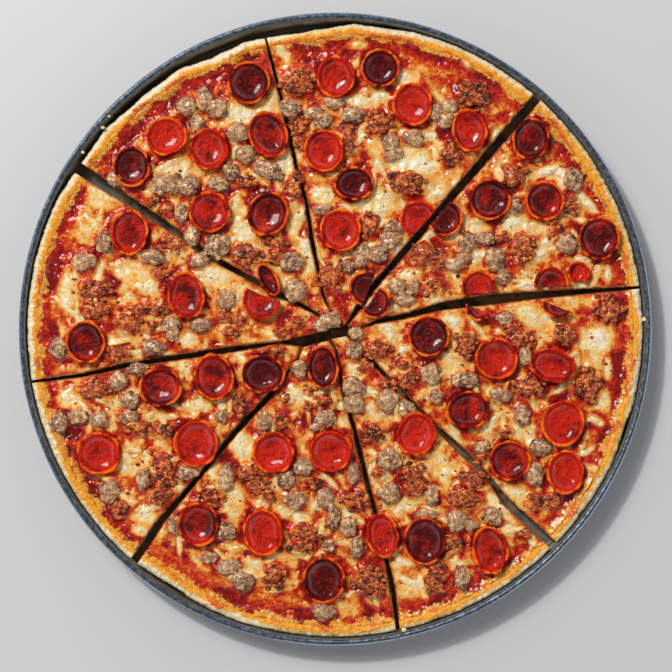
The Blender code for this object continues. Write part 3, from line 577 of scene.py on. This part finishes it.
# Pale chunks of crumbled pork sausage and dark red crumbles of a spicier one,
# as (x, y, width, depth) in millimetres.
PALE_CHUNKS = {
    "a": [(-96, 145, 13, 12), (-85, 150, 9, 15), (-77, 144, 13, 12), (-90, 134, 8, 12), (-114, 94, 12, 13),
          (-105, 95, 12, 13), (-95, 93, 12, 13), (-76, 94, 13, 11), (-143, 98, 9, 11), (-100, 76, 8, 12),
          (-63, 128, 14, 12), (-58, 113, 14, 12), (-47, 105, 13, 11), (-40, 102, 12, 11), (-68, 103, 11, 11),
          (-93, 61, 9, 14), (-77, 54, 16, 15), (-28, 44, 14, 13), (-26, 25, 13, 15), (-3, 6, 13, 11)],
    "b": [(0, 148, 13, 8), (-29, 144, 13, 11), (-14, 141, 12, 8), (-8, 135, 12, 11), (11, 140, 14, 10),
          (36, 121, 11, 13), (38, 114, 12, 9), (51, 125, 13, 10), (-8, 78, 12, 7), (66, 141, 10, 12),
          (74, 145, 11, 9), (72, 136, 11, 9), (36, 58, 12, 12), (38, 66, 12, 8), (28, 49, 13, 11),
          (17, 48, 10, 14), (9, 41, 8, 8)],
    "c": [(155, 97, 11, 16), (117, 80, 9, 10), (41, 28, 12, 11), (51, 27, 8, 11), (45, 20, 12, 9),
          (86, 56, 11, 14), (98, 59, 12, 9), (84, 47, 9, 8), (104, 46, 12, 15), (78, 42, 13, 8),
          (109, 34, 9, 9), (151, 55, 14, 12)],
    "d": [(14, -3, 9, 10), (62, -29, 12, 14), (66, -44, 9, 9), (111, 7, 11, 8), (124, -18, 9, 11),
          (108, -43, 13, 10), (122, -56, 10, 12), (134, -77, 14, 11), (130, -94, 11, 15), (85, -33, 17, 10),
          (96, -77, 10, 8)],
    "e": [(13, -14, 10, 12), (12, -38, 14, 12), (13, -49, 13, 13), (34, -47, 14, 15), (46, -52, 12, 10),
          (35, -85, 15, 14), (35, -107, 13, 12), (63, -109, 8, 13), (59, -121, 13, 7), (79, -125, 13, 13),
          (103, -122, 11, 12), (89, -128, 9, 8), (83, -162, 9, 14)],
    "f": [(-23, -26, 10, 11), (-7, -58, 13, 11), (-12, -64, 9, 6), (-46, -60, 10, 12), (-31, -98, 12, 12),
          (-26, -111, 14, 11), (-21, -90, 12, 11), (-7, -110, 12, 13), (-1, -121, 8, 16), (9, -129, 10, 13),
          (14, -142, 9, 14), (12, -94, 8, 12), (-60, -164, 14, 11), (-69, -155, 15, 9), (-7, -184, 14, 12),
          (-4, -141, 8, 8), (-71, -132, 12, 11), (-82, -149, 10, 7), (-105, -128, 8, 12),
          (-71, -97, 10, 16)],
    "g": [(-128, -26, 14, 8), (-141, -34, 12, 12), (-134, -46, 12, 10), (-134, -58, 12, 9),
          (-167, -57, 12, 10), (-154, -59, 11, 11), (-180, -61, 11, 13), (-74, -57, 8, 8),
          (-147, -106, 12, 14), (-125, -98, 8, 15), (-96, -93, 14, 10)],
    "h": [(-150, 56, 11, 13), (-163, 44, 14, 12), (-118, 47, 16, 10), (-88, 45, 12, 11), (-71, 19, 11, 13),
          (-107, 3, 12, 9), (-106, -4, 8, 8), (-88, 3, 14, 9), (-118, -12, 14, 10), (-180, -13, 11, 13),
          (-10, 2, 9, 7)],
}
RED_CRUMBLES = {
    "a": [(-57, 96, 12, 10), (-27, 92, 10, 20), (-110, 78, 10, 9), (-59, 49, 19, 16), (-38, 56, 16, 8),
          (-38, 48, 17, 9), (-119, 83, 6, 6)],
    "b": [(-24, 161, 21, 18), (-24, 132, 13, 12), (-22, 122, 9, 8), (29, 134, 19, 16), (8, 124, 9, 18),
          (47, 95, 25, 17), (75, 115, 14, 16), (22, 68, 11, 18), (91, 152, 24, 18), (-3, 34, 14, 18)],
    "c": [(117, 100, 17, 16), (154, 80, 10, 12), (57, 49, 18, 16), (66, 45, 11, 14), (66, 29, 11, 11),
          (123, 53, 15, 19), (143, 64, 9, 12), (110, 60, 8, 7), (57, 25, 6, 5)],
    "d": [(28, -14, 17, 12), (45, -24, 10, 10), (47, -34, 14, 13), (178, 13, 18, 17), (116, 2, 13, 8),
          (122, -7, 15, 12), (150, -3, 18, 14), (85, -10, 17, 18), (126, -38, 21, 14), (164, -37, 18, 21),
          (110, -67, 12, 7), (95, -84, 9, 7), (132, -112, 13, 11), (143, -111, 9, 11)],
    "e": [(21, -24, 10, 7), (34, -37, 12, 8), (24, -69, 15, 13), (51, -95, 17, 14), (52, -104, 16, 10),
          (89, -97, 20, 12), (85, -109, 21, 15), (75, -139, 14, 14), (65, -164, 15, 16), (65, -154, 11, 8),
          (124, -133, 8, 9), (29, -94, 7, 10)],
    "f": [(-15, -39, 10, 8), (-6, -46, 13, 9), (-32, -45, 10, 9), (-36, -61, 8, 13), (-57, -94, 17, 13),
          (-50, -104, 15, 10), (13, -111, 19, 13), (-19, -132, 21, 11), (-21, -142, 17, 9),
          (22, -164, 22, 19), (-39, -162, 13, 17), (-81, -109, 15, 12), (-83, -102, 9, 6), (-15, -101, 9, 7),
          (-16, -49, 7, 6), (-44, -110, 7, 6)],
    "g": [(-155, -40, 17, 16), (-128, -65, 16, 9), (-111, -66, 17, 9), (-63, -49, 9, 16),
          (-141, -116, 14, 12), (-112, -88, 15, 12), (-112, -97, 15, 11), (-114, -110, 15, 12),
          (-39, -14, 12, 7)],
    "h": [(-155, 25, 20, 13), (-155, 13, 18, 12), (-105, 56, 13, 12), (-114, 36, 10, 8), (-131, 13, 17, 7),
          (-114, 13, 14, 6), (-134, 4, 18, 12), (-119, 1, 10, 8), (-141, -15, 16, 10), (-64, 7, 12, 10),
          (-68, -2, 10, 8), (-35, -3, 13, 9), (-25, 4, 8, 7), (-72, 7, 6, 5)],
}


def strewn(draw, name, count, spread, reach):
    """Random places on a slice, within a range across it and one out from its tip, and how far out."""
    across = np.array([draw.uniform(*spread) for _ in range(count)])
    out = np.array([math.sqrt(draw.uniform(*reach)) for _ in range(count)])
    return slice_places(slice_sides(name), across, out, EDGE_WIDTH * out), out


def melted_shreds(name):
    """Strands of grated cheese that kept some of their form, as patches strewn over a slice."""
    draw = random.Random("shreds " + name)
    places = strewn(draw, name, SHREDS, (0.06, 0.94), (0.01, 0.86))[0] / MM
    return [(x, y, draw.uniform(*SHRED_WIDTHS), draw.uniform(*SHRED_LENGTHS), draw.uniform(0, 180),
             draw.uniform(0.4, 0.95), draw.uniform(0.5, 1.0)) for x, y in places.tolist()]


def bed_tones(name, places, from_edge, shreds=()):
    """How thick a slice's cheese lies at each place, how golden it is, and the bed's height."""
    seed = list(SLICES).index(name) * 7.0
    broad, middle = rough(places, 0.012, seed), rough(places, 0.0048, seed + 3)
    fine = rough(places, 0.0020, seed + 6)
    wobble = 0.34 * middle + 0.12 * fine + 0.25 * broad
    rich, raise_by = np.zeros(len(places)), np.zeros(len(places))
    for patches, unevenness, softness in ((CREAM_PATCHES, 1.0, 0.55), (shreds, 0.8, 0.5)):
        for patch in patches:
            cover = covered(places, patch, wobble * unevenness, softness)
            rich = np.maximum(rich, cover * patch[5])
            raise_by = np.maximum(raise_by, cover * patch[6])
    bare = np.zeros(len(places))
    for spot in SAUCE_SPOTS:
        bare = np.maximum(bare, covered(places, spot, wobble * 1.4, 0.40))
    band = eased(from_edge, 0.017, 0.005) * eased(broad + 0.6 * middle, -0.35, 0.30)
    bare = np.maximum(bare, band * 0.9) * (1.0 - rich)
    # Round the cups and lumps the cheese is thinned to orange and red: partly oil run out of them, partly
    # painted shade round their feet.
    grease_and_shade = np.zeros(len(places))
    height = CHEESE_TOP - 0.0006 + broad * 0.0007 + middle * 0.0009 + fine * 0.0004
    height += raise_by * 0.0015 - bare * 0.0008 + 0.0019 * eased(from_edge, 0.0060, 0.0)
    for middle_of, width, depth, _ in CUP_SIZES.values():
        away = lengths(places - middle_of) / ((width + depth) / 4)
        under = eased(away, 1.02, 0.86)
        height = height * (1 - under) + (CHEESE_TOP - 0.0008) * under
        height += 0.0006 * eased(away, 1.35, 1.12) * eased(away, 0.95, 1.05)
        grease_and_shade = np.maximum(grease_and_shade, eased(away + 0.25 * middle, 1.45, 1.02))
    for x, y, width, depth in PALE_CHUNKS[name] + RED_CRUMBLES[name]:
        away = lengths((places - np.array((x, y)) * MM) / (width * MM, depth * MM)) * 2
        height += 0.0016 * eased(away, 1.5, 0.9)
        grease_and_shade = np.maximum(grease_and_shade, eased(away + 0.3 * middle, 1.65, 1.0) * 0.65)
    thick = 0.46 + 0.52 * broad + 0.30 * middle + 0.10 * fine
    thick = thick * (1 - 0.85 * rich) + 0.95 * 0.85 * rich
    thick = thick * (1 - 0.88 * bare) - 0.30 * grease_and_shade * (1 - 0.5 * rich)
    gold = eased(from_edge + 0.004 * broad, 0.0062, 0.0) * (1.0 - 0.8 * rich)
    return np.clip(thick, 0.0, 1.0), gold, height


MELT = [
    (0.00, (0.24, 0.003, 0.001)), (0.10, (0.46, 0.007, 0.002)), (0.20, (0.62, 0.018, 0.003)),
    (0.29, (0.74, 0.052, 0.006)), (0.39, (0.86, 0.16, 0.015)), (0.51, (0.95, 0.34, 0.045)),
    (0.65, (0.97, 0.55, 0.14)), (0.80, (0.98, 0.73, 0.33)), (1.00, (0.98, 0.88, 0.64))]
GOLDEN = (1.0, 0.46, 0.045)
ORANGE = (0.90, 0.20, 0.012)
GLINT_CREAM = (1.0, 0.93, 0.76)
BROWNED = (0.52, 0.14, 0.016)
CUT_BROWN = (0.42, 0.11, 0.018)
melted, start = new_finish("sauce and cheese", coat_weight=1.0, coat_roughness=0.05, specular_ior_level=0.15)
large, small = grain(start, 0.0065), grain(start, 0.0024)
tiny = grain(start, 0.0009, 2.0)
uneven = (large - 0.5) * 0.85 + (small - 0.5) * 0.46 + (tiny - 0.5) * 0.20
thick = seen(start, "thick") + uneven
colour = thick.make("ValToRGB", {"stops": MELT}, {0: thick})
golden = (seen(start, "gold") + (large - 0.5) * 1.9 + (small - 0.5) * 1.3).between(0.34, 0.74)
crisp = (tiny + (small - 0.5) * 1.4).between(0.24, 0.56).tinted(ORANGE, GOLDEN)
crisp = (tiny * 0.5 + small * 0.5).between(0.54, 0.66).tinted(crisp, PALE_DOUGH)
colour = golden.tinted(colour, crisp)
browned = (grain(start, 0.0038) + (tiny - 0.5) * 0.5).between(0.58, 0.72)
browned = browned * thick.between(0.30, 0.45) * (1.0 - golden)
colour = (browned * 0.45).tinted(colour, BROWNED)
# Painted highlights: pale cream flecks on the thick cheese, where the small noise runs high.
painted_glints = thick.between(0.62, 0.90) * small.between(0.50, 0.66) * 0.6
colour = painted_glints.tinted(colour, GLINT_CREAM)
colour = (seen(start, "cut") + (small - 0.5) * 0.6).between(0.30, 0.75).tinted(colour, CUT_BROWN)
smooth = thick.between(0.45, 0.80)
relief = large * 1.3 + small * (0.90 - 0.62 * smooth) + tiny * (0.26 - 0.23 * smooth)
wire(start, base_color=colour, roughness=0.24 + 0.20 * small, normal=raised(start, relief, 0.0028))

for index, name in enumerate(SLICES):
    sides = slice_sides(name)
    bm, across, row = sheet_over(BED_COLUMNS, BED_ROWS)
    out = row / BED_ROWS
    places = slice_places(sides, across, out, (EDGE_WIDTH - BED_LAP) * out)
    reach = np.linalg.norm(sides[2].mean(0) - (sides[0][0] + sides[1][0]) / 2)
    thick_at, gold_at, level = bed_tones(name, places, (1.0 - out) * reach, melted_shreds(name))
    lean = along(sides[0], out) - along(sides[1], out)
    wide = lengths(lean)
    from_side = np.minimum(across, 1.0 - across) * wide
    level -= 0.0011 * eased(from_side, CUT_EDGE, 0.0) ** 2
    ragged = rough(places, 0.0032, index + 40) * 0.0006 * eased(from_side, 0.003, 0.0)
    places = places + lean / wide[:, None] * (ragged * np.sign(0.5 - across))[:, None]
    walled(bm, places, level, BED_LEVELS, 0.0004, index)
    bed = finished("cheese_bed_" + name, bm, melted, "sauce_and_cheese", "cheese_" + name)
    stored(bed, "thick", thick_at)
    stored(bed, "gold", gold_at)
    cut = np.ones(len(bed.data.vertices))
    cut[:len(places)] = eased(from_side, CUT_EDGE, 0.0) * 0.7
    stored(bed, "cut", cut)

# Pepperoni: thin slices of cured sausage that curled up into cups in the oven. The
# rims stand up, crisp and bright with orange fat, and the hollows are deep red and wet
# with oil. Every cup is uneven in its own way.
CUP_SEGMENTS = 56
CUP_WALL = 0.0013
OUTER_REACH = 0.905
CUP_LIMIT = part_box("pepperoni_a1")[1].z
CUP_ROOM = 0.0030
CUP_PROFILE = [  # (share of the radius, share of the height)
    (0.12, 0.0), (0.24, 0.01), (0.36, 0.035), (0.47, 0.075), (0.57, 0.135), (0.66, 0.215), (0.74, 0.315),
    (0.81, 0.43), (0.865, 0.56), (0.905, 0.69), (0.935, 0.81), (0.955, 0.92), (0.965, 1.0)]
CUP_RED = (0.10, 0.0006, 0.0006)
CUP_BRIGHT = (0.64, 0.016, 0.003)
CUP_RIM = (1.0, 0.17, 0.008)
CUP_EDGE = (0.60, 0.030, 0.004)
CUP_FAT = (0.66, 0.16, 0.04)
CHAR = (0.12, 0.006, 0.002)

meat, start = new_finish("pepperoni", coat_roughness=0.05, specular_ior_level=0.1)
reach = seen(start, "reach")
rim = reach.between(0.87, 0.955)
marbling = grain(start, 0.0024, 4.0)
patchy = grain(start, 0.009, 2.0)
dots = specks(start, 0.0034, 0.20)
tone = seen(start, "tone")
mixed = marbling * 0.25 + (patchy - 0.5) * 1.2 + 0.15 + tone * 0.48
colour = mixed.between(0.28, 0.74).tinted(CUP_RED, CUP_BRIGHT)
colour = (dots * 0.30 * patchy.between(0.45, 0.7)).tinted(colour, CUP_FAT)
edge = patchy.between(0.36, 0.58).tinted(CUP_EDGE, CUP_RIM)
colour = (rim + (marbling - 0.5) * 0.8).between(0.40, 0.90).tinted(colour, edge)
char = (rim * grain(start, 0.005, 2.0)).between(0.58, 0.70) * 0.5
place = start.make("TexCoord", out="Object")
beads = start.make("TexVoronoi", {"feature": "SMOOTH_F1"}, {"Vector": place, "Scale": 420.0})
waves = grain(start, 0.0055, 2.0) * 1.5
beaded = specks(start, 0.0030, 0.26)
drops = (1.0 - beads) * grain(start, 0.0045, 2.0).between(0.50, 0.66)
relief = waves + marbling * 0.15 + drops * 0.6 + beaded * 0.14
wire(start, base_color=char.tinted(colour, CHAR), roughness=0.35 + 0.20 * marbling,
     coat_weight=1.0 - 0.95 * reach.between(0.68, 0.80), normal=raised(start, relief, 0.0019))


def make_cup(name, middle, width, depth, turn, height, seed, cut=0.0, flat_side=0, node=None):
    """One curled slice of pepperoni, or the part of one that a cut left."""
    draw = random.Random(seed)
    shift = draw.uniform(0, 100)
    bm = bmesh.new()
    bmesh.ops.create_circle(bm, cap_ends=True, cap_tris=True, segments=CUP_SEGMENTS, radius=0.02)
    lip = [edge for edge in bm.edges if edge.is_boundary]
    for share, level in CUP_PROFILE:
        lip, grown = extruded(bm, lip)
        for vert in grown:
            way = vert.co.xy.normalized()
            lobes = noise.noise((way.x * 0.9, way.y * 0.9, shift))
            crinkle = noise.noise((way.x * 2.2, way.y * 2.2, shift + 7))
            floor_wave = noise.noise((way.x * share * 2.2, way.y * share * 2.2, shift + 3))
            reach = share * (1.0 - level * (0.035 + 0.11 * crinkle + 0.06 * lobes))
            lift = level * (0.92 + 0.38 * lobes + 0.22 * crinkle) + 0.10 * (1 - level) * share * floor_wave
            vert.co = (way.x * reach / 2, way.y * reach / 2, max(lift, -0.02))
    if flat_side:
        plane = Vector((cut * flat_side, 0, 0))
        bmesh.ops.bisect_plane(bm, geom=bm.verts[:] + bm.edges[:] + bm.faces[:], plane_co=plane,
                               plane_no=(flat_side, 0, 0), clear_outer=True)
    layer = bm.verts.layers.float.new("reach")
    shade = bm.verts.layers.float.new("tone")
    tone = draw.random()
    for vert in bm.verts:
        vert[layer] = vert.co.xy.length * 2
    bmesh.ops.scale(bm, verts=bm.verts, vec=(width, depth, height))
    bmesh.ops.recalc_face_normals(bm, faces=bm.faces)
    if sum(face.normal.z for face in bm.faces) < 0:
        bmesh.ops.reverse_faces(bm, faces=bm.faces)
    inside = set(bm.verts)
    bmesh.ops.solidify(bm, geom=bm.faces[:], thickness=CUP_WALL)
    for vert in bm.verts:
        vert[shade] = tone
        if vert not in inside:
            vert[layer] = max(vert[layer], OUTER_REACH)
    for axis in "XY":
        lean = Matrix.Rotation(draw.uniform(-0.10, 0.10), 3, axis)
        bmesh.ops.rotate(bm, verts=bm.verts, matrix=lean)
    bmesh.ops.rotate(bm, verts=bm.verts, matrix=Matrix.Rotation(turn, 3, "Z"))
    bmesh.ops.translate(bm, verts=bm.verts, vec=(*middle, CHEESE_TOP + CUP_WALL))
    for vert in bm.verts:
        over = max(0.0, vert.co.z - CUP_LIMIT + CUP_ROOM)
        vert.co.z -= over * over / (CUP_ROOM + over)
    finished(name, bm, meat, "pepperoni", *([node] if node else []))


USUAL_CUP = 0.026
CUP_FIT = 1.02
CUP_HEIGHT = 0.0066
for node, (middle, width, depth, turn) in CUP_SIZES.items():
    height = CUP_HEIGHT * math.sqrt(width * depth) / USUAL_CUP
    label = node.replace("pepperoni_", "pepperoni_cup_")
    make_cup(label, middle, width * CUP_FIT, depth * CUP_FIT, turn, height, node, node=node)

# Pepperoni that the cuts went through, or that folded over: what a cut left of a cup,
# as (x, y, what is left across the cut, width along it, turn, which side is cut off).
CUT_CUPS = [
    (-43, 32, 10, 22, 28, 0), (52, 74, 16, 24, -42, 1), (16.5, 28, 12, 22, -22, 1), (74, 70, 15, 22, -40, -1),
    (29, 15.5, 12, 20, -36, -1), (93.6, 30.5, 14, 22, 93, -1), (139.8, 34.2, 13, 22, 93, -1),
    (158.5, 37.5, 12, 13, 93, -1), (92, 9.5, 7, 17, 68, 1), (143, 11, 8, 20, 68, 1),
    (-50, 14.5, 16, 25, 68, 1),
]
CUT_CUP_HEIGHT = 0.0058
for number, (x, y, kept, wide, turn, side) in enumerate(CUT_CUPS, 1):
    turn = math.radians(turn)
    shift = side * (wide - kept) / 2 * MM
    middle = (x * MM + shift * math.cos(turn), y * MM + shift * math.sin(turn))
    width = (wide if side else kept) * MM
    make_cup(f"cut_pepperoni_{number}", middle, width, wide * MM, turn, CUT_CUP_HEIGHT, f"cut {number}",
             kept / wide - 0.5, side)

# Pale sausage: rounded chunks of ground pork, grey brown and a little pink, with a
# crumbly surface and painted shade in its creases and low on its sides, half sunk in
# the cheese.
CHUNK_DETAIL = 4
GRAIN_DETAIL = 2
KNOBS = 4
PALE_FORM = (0.72, 0.16, 1.06)
PALE_MEAT = (0.38, 0.170, 0.086)
PALE_LIGHT = (1.0, 0.64, 0.31)
PALE_SHADE = (0.10, 0.022, 0.009)
pork, start = new_finish("pale sausage", coat_weight=0.8, coat_roughness=0.10, specular_ior_level=0.2)
coarse, crumb = grain(start, 0.0032), grain(start, 0.0011, 2.0)
hollow = seen(start, "hollow")
colour = (coarse + (crumb - 0.5) * 0.4).between(0.38, 0.72).tinted(PALE_MEAT, PALE_LIGHT)
# Painted shade: the creases and low sides of each chunk are darkened.
colour = (hollow + (crumb - 0.5) * 0.4).between(0.26, 0.74).tinted(colour, PALE_SHADE)
relief = coarse * 0.8 + crumb * 0.5
wire(start, base_color=colour, roughness=0.42 + 0.25 * crumb, normal=raised(start, relief, 0.0020))


def add_lump(whole, middle, size, detail, roughness, draw):
    """Adds a rough rounded lump, with each point's share of painted shade and the lump's random tone."""
    bm = bmesh.new()
    layer = bm.verts.layers.float.new("hollow")
    bmesh.ops.create_icosphere(bm, subdivisions=detail, radius=0.5)
    shift = Vector((draw.uniform(0, 99), draw.uniform(0, 99), draw.uniform(0, 99)))
    finest = 2.4 if detail > 3 else 1.8
    own = draw.uniform(-0.25, 0.30) if detail < 3 else draw.uniform(-0.14, 0.14)
    for vert in bm.verts:
        way = vert.co.normalized()
        broad = noise.noise(way * 1.1 + shift)
        knobs = 0.55 - 1.6 * abs(noise.noise(way * finest + shift))
        crumbs = 0.35 - 1.2 * abs(noise.noise(way * finest * 2.2 + shift))
        # Painted shade: more of the dark colour low on the lump and in the creases between knobs and crumbs;
        # own is a random tone for the lump.
        sunk = 0.55 * max(0.0, 0.40 - way.z)
        vert[layer] = max(0.0, min(1.2, 0.10 + own + sunk + 0.75 * knobs + 0.55 * crumbs))
        vert.co *= 1.0 + roughness * (0.55 * broad - 0.30 * knobs - 0.22 * crumbs)
    bmesh.ops.scale(bm, verts=bm.verts, vec=size)
    bmesh.ops.rotate(bm, verts=bm.verts, matrix=Matrix.Rotation(draw.uniform(-0.3, 0.3), 3, "X"))
    bmesh.ops.translate(bm, verts=bm.verts, vec=middle)
    bm.to_mesh(LOOSE)
    bm.free()
    whole.from_mesh(LOOSE)


def lump_size(lump, form):
    """Where a listed lump lies and its size, from its shares of height, lift and spread."""
    (x, y, width, depth), (tall, lift, spread) = lump, form
    tall *= (width + depth) / 2
    middle = Vector((x, y, 0)) * MM + Vector((0, 0, CHEESE_TOP + tall * MM * lift))
    return middle, (width * MM * spread, depth * MM * spread, tall * MM)


draw = random.Random("pale sausage")
LOOSE = bpy.data.meshes.new("loose")
bm = bmesh.new()
for lump in sum(PALE_CHUNKS.values(), []):
    width, depth = lump[2:]
    middle, size = lump_size(lump, PALE_FORM)
    add_lump(bm, middle, size, CHUNK_DETAIL, 0.48, draw)
    for knob in range(KNOBS):
        turn = (knob + draw.random()) * math.tau / KNOBS
        spot = Vector((math.cos(turn) * width, math.sin(turn) * depth, draw.uniform(-1.0, 4.5))) * (0.34 * MM)
        part = draw.uniform(0.36, 0.58)
        add_lump(bm, middle + spot, [extent * part for extent in size], GRAIN_DETAIL, 0.5, draw)
finished("pale_sausage", bm, pork, "sauce_and_cheese", *CHEESE_NODES)

# Red sausage: rough crumbles of a spicier mince, each a cluster of grains stuck together,
# glossy with orange fat outside, with painted shade, nearly black, in its creases.
GRAIN_SIZE = 4.2
GRAIN_AREA = 17
LARGE_AREA = 150
RED_FORM = (0.50, 0.12, 0.86)
RED_MEAT = (0.35, 0.028, 0.005)
RED_LIGHT = (1.0, 0.28, 0.045)
RED_SHADE = (0.030, 0.002, 0.001)
chorizo, start = new_finish("red sausage", coat_weight=0.8, coat_roughness=0.06, specular_ior_level=0.2)
coarse, crumb = grain(start, 0.0026), grain(start, 0.0009, 2.0)
hollow = seen(start, "hollow")
colour = (coarse + (crumb - 0.5) * 0.6).between(0.42, 0.64).tinted(RED_MEAT, RED_LIGHT)
# Painted shade: the creases and low sides of the crumbles are darkened nearly to black.
colour = (hollow + (crumb - 0.5) * 0.6).between(0.30, 0.70).tinted(colour, RED_SHADE)
relief = coarse * 0.8 + crumb * 0.5
wire(start, base_color=colour, roughness=0.28 + 0.30 * crumb, normal=raised(start, relief, 0.0018))

draw = random.Random("red sausage")
bm = bmesh.new()
for lump in sum(RED_CRUMBLES.values(), []):
    width, depth = lump[2:]
    middle, size = lump_size(lump, RED_FORM)
    add_lump(bm, middle, size, CHUNK_DETAIL if width * depth > LARGE_AREA else CHUNK_DETAIL - 1, 0.75, draw)
    for _ in range(max(5, round(width * depth / GRAIN_AREA))):
        turn, out = draw.uniform(0, math.tau), math.sqrt(draw.random())
        spot = Vector((math.cos(turn) * width, math.sin(turn) * depth, 0)) * (out * 0.54 * MM)
        spot.z = size[2] * 0.42 * (1.0 - 0.8 * out * out) * draw.uniform(0.7, 1.1)
        length = GRAIN_SIZE * draw.uniform(0.6, 1.5) * MM
        grain_size = (length, length * draw.uniform(0.6, 0.9), length * 0.75)
        add_lump(bm, middle + spot, grain_size, GRAIN_DETAIL, 0.7, draw)
finished("red_sausage", bm, chorizo, "sauce_and_cheese", *CHEESE_NODES)

# Crumbs of the red sausage that broke off when it was strewn. They lie in the melted
# cheese round the larger pieces.
CRUMBS = 46
CRUMB_SIZES = (1.4, 3.4)
draw = random.Random("crumbs")
bm = bmesh.new()
for name in SLICES:
    lumps = PALE_CHUNKS[name] + RED_CRUMBLES[name]
    places, sizes = [], []
    while len(places) < CRUMBS:
        x, y, width, depth = draw.choice(lumps)
        turn, away = draw.uniform(0, math.tau), draw.uniform(0.45, 1.0)
        places.append((x + math.cos(turn) * width * away, y + math.sin(turn) * depth * away))
        sizes.append(draw.uniform(*CRUMB_SIZES) * MM)
    places = np.array(places) * MM
    first, last, outer = slice_sides(name)
    ring = np.concatenate((first, outer, last[::-1]))
    ahead = np.roll(ring, -1, axis=0) - ring
    gone = places[:, None] - ring
    crossed = (gone[..., 1] >= 0) != (gone[..., 1] - ahead[:, 1] >= 0)
    reach = gone[..., 0] * ahead[:, 1] < gone[..., 1] * ahead[:, 0]
    inside = (crossed & (reach == (ahead[:, 1] > 0))).sum(axis=1) % 2 == 1
    levels = bed_tones(name, places, np.full(len(places), 0.05))[2]
    for (x, y), z, size, kept in zip(places.tolist(), levels.tolist(), sizes, inside):
        if kept and math.hypot(x, y) < EDGE_LIMIT - EDGE_WIDTH:
            middle = Vector((x, y, z + size * 0.1))
            add_lump(bm, middle, (size, size * 0.75, size * 0.7), GRAIN_DETAIL, 0.8, draw)
finished("sausage_crumbs", bm, chorizo, "sauce_and_cheese")

# A few crumbs of baked crust that the wheel broke off. They lie loose in the crack
# between the crust and the pan's rim.
STRAYS = [(-151, 131, 3.0), (-164, 115, 2.6), (-147, 138.5, 2.2), (201.2, 6.4, 3.2), (45, -196, 3.6)]
draw = random.Random("strays")
bm = bmesh.new()
for x, y, size in STRAYS:
    middle = Vector((x * MM, y * MM, RIM_LEVEL - 0.0012))
    add_lump(bm, middle, (size * MM, size * 0.8 * MM, size * 0.7 * MM), GRAIN_DETAIL, 0.9, draw)
finished("crust_crumbs", bm, dough, "baked_dough")

# Dried oregano and cracked black pepper: small flat flakes, scattered by hand over the
# cheese, where the fat holds them.
HERB_COUNT = 90
HERB_SIZES = (0.0006, 0.0015)
USUAL_REACH = 0.19
HERB = (0.035, 0.035, 0.010)
PEPPER = (0.012, 0.009, 0.007)
herb, start = new_finish("dried herbs", roughness=0.7)
wire(start, base_color=grain(start, 0.006).between(0.45, 0.55).tinted(HERB, PEPPER))
draw = random.Random("herbs")
bm = bmesh.new()
for name in SLICES:
    places, out = strewn(draw, name, HERB_COUNT, (0.04, 0.96), (0.02, 0.97))
    levels = bed_tones(name, places, (1 - out) * USUAL_REACH)[2]
    for (x, y), z in zip(places.tolist(), levels.tolist()):
        size = draw.uniform(*HERB_SIZES)
        flake = bmesh.ops.create_icosphere(bm, subdivisions=1, radius=0.5)["verts"]
        bmesh.ops.scale(bm, verts=flake, vec=(size, size * draw.uniform(0.5, 0.9), size * 0.4))
        bmesh.ops.rotate(bm, verts=flake, matrix=Matrix.Rotation(draw.uniform(0, 3.1), 3, "Z"))
        bmesh.ops.translate(bm, verts=flake, vec=(x, y, z + size * 0.15))
finished("herb_flecks", bm, herb, "sauce_and_cheese")
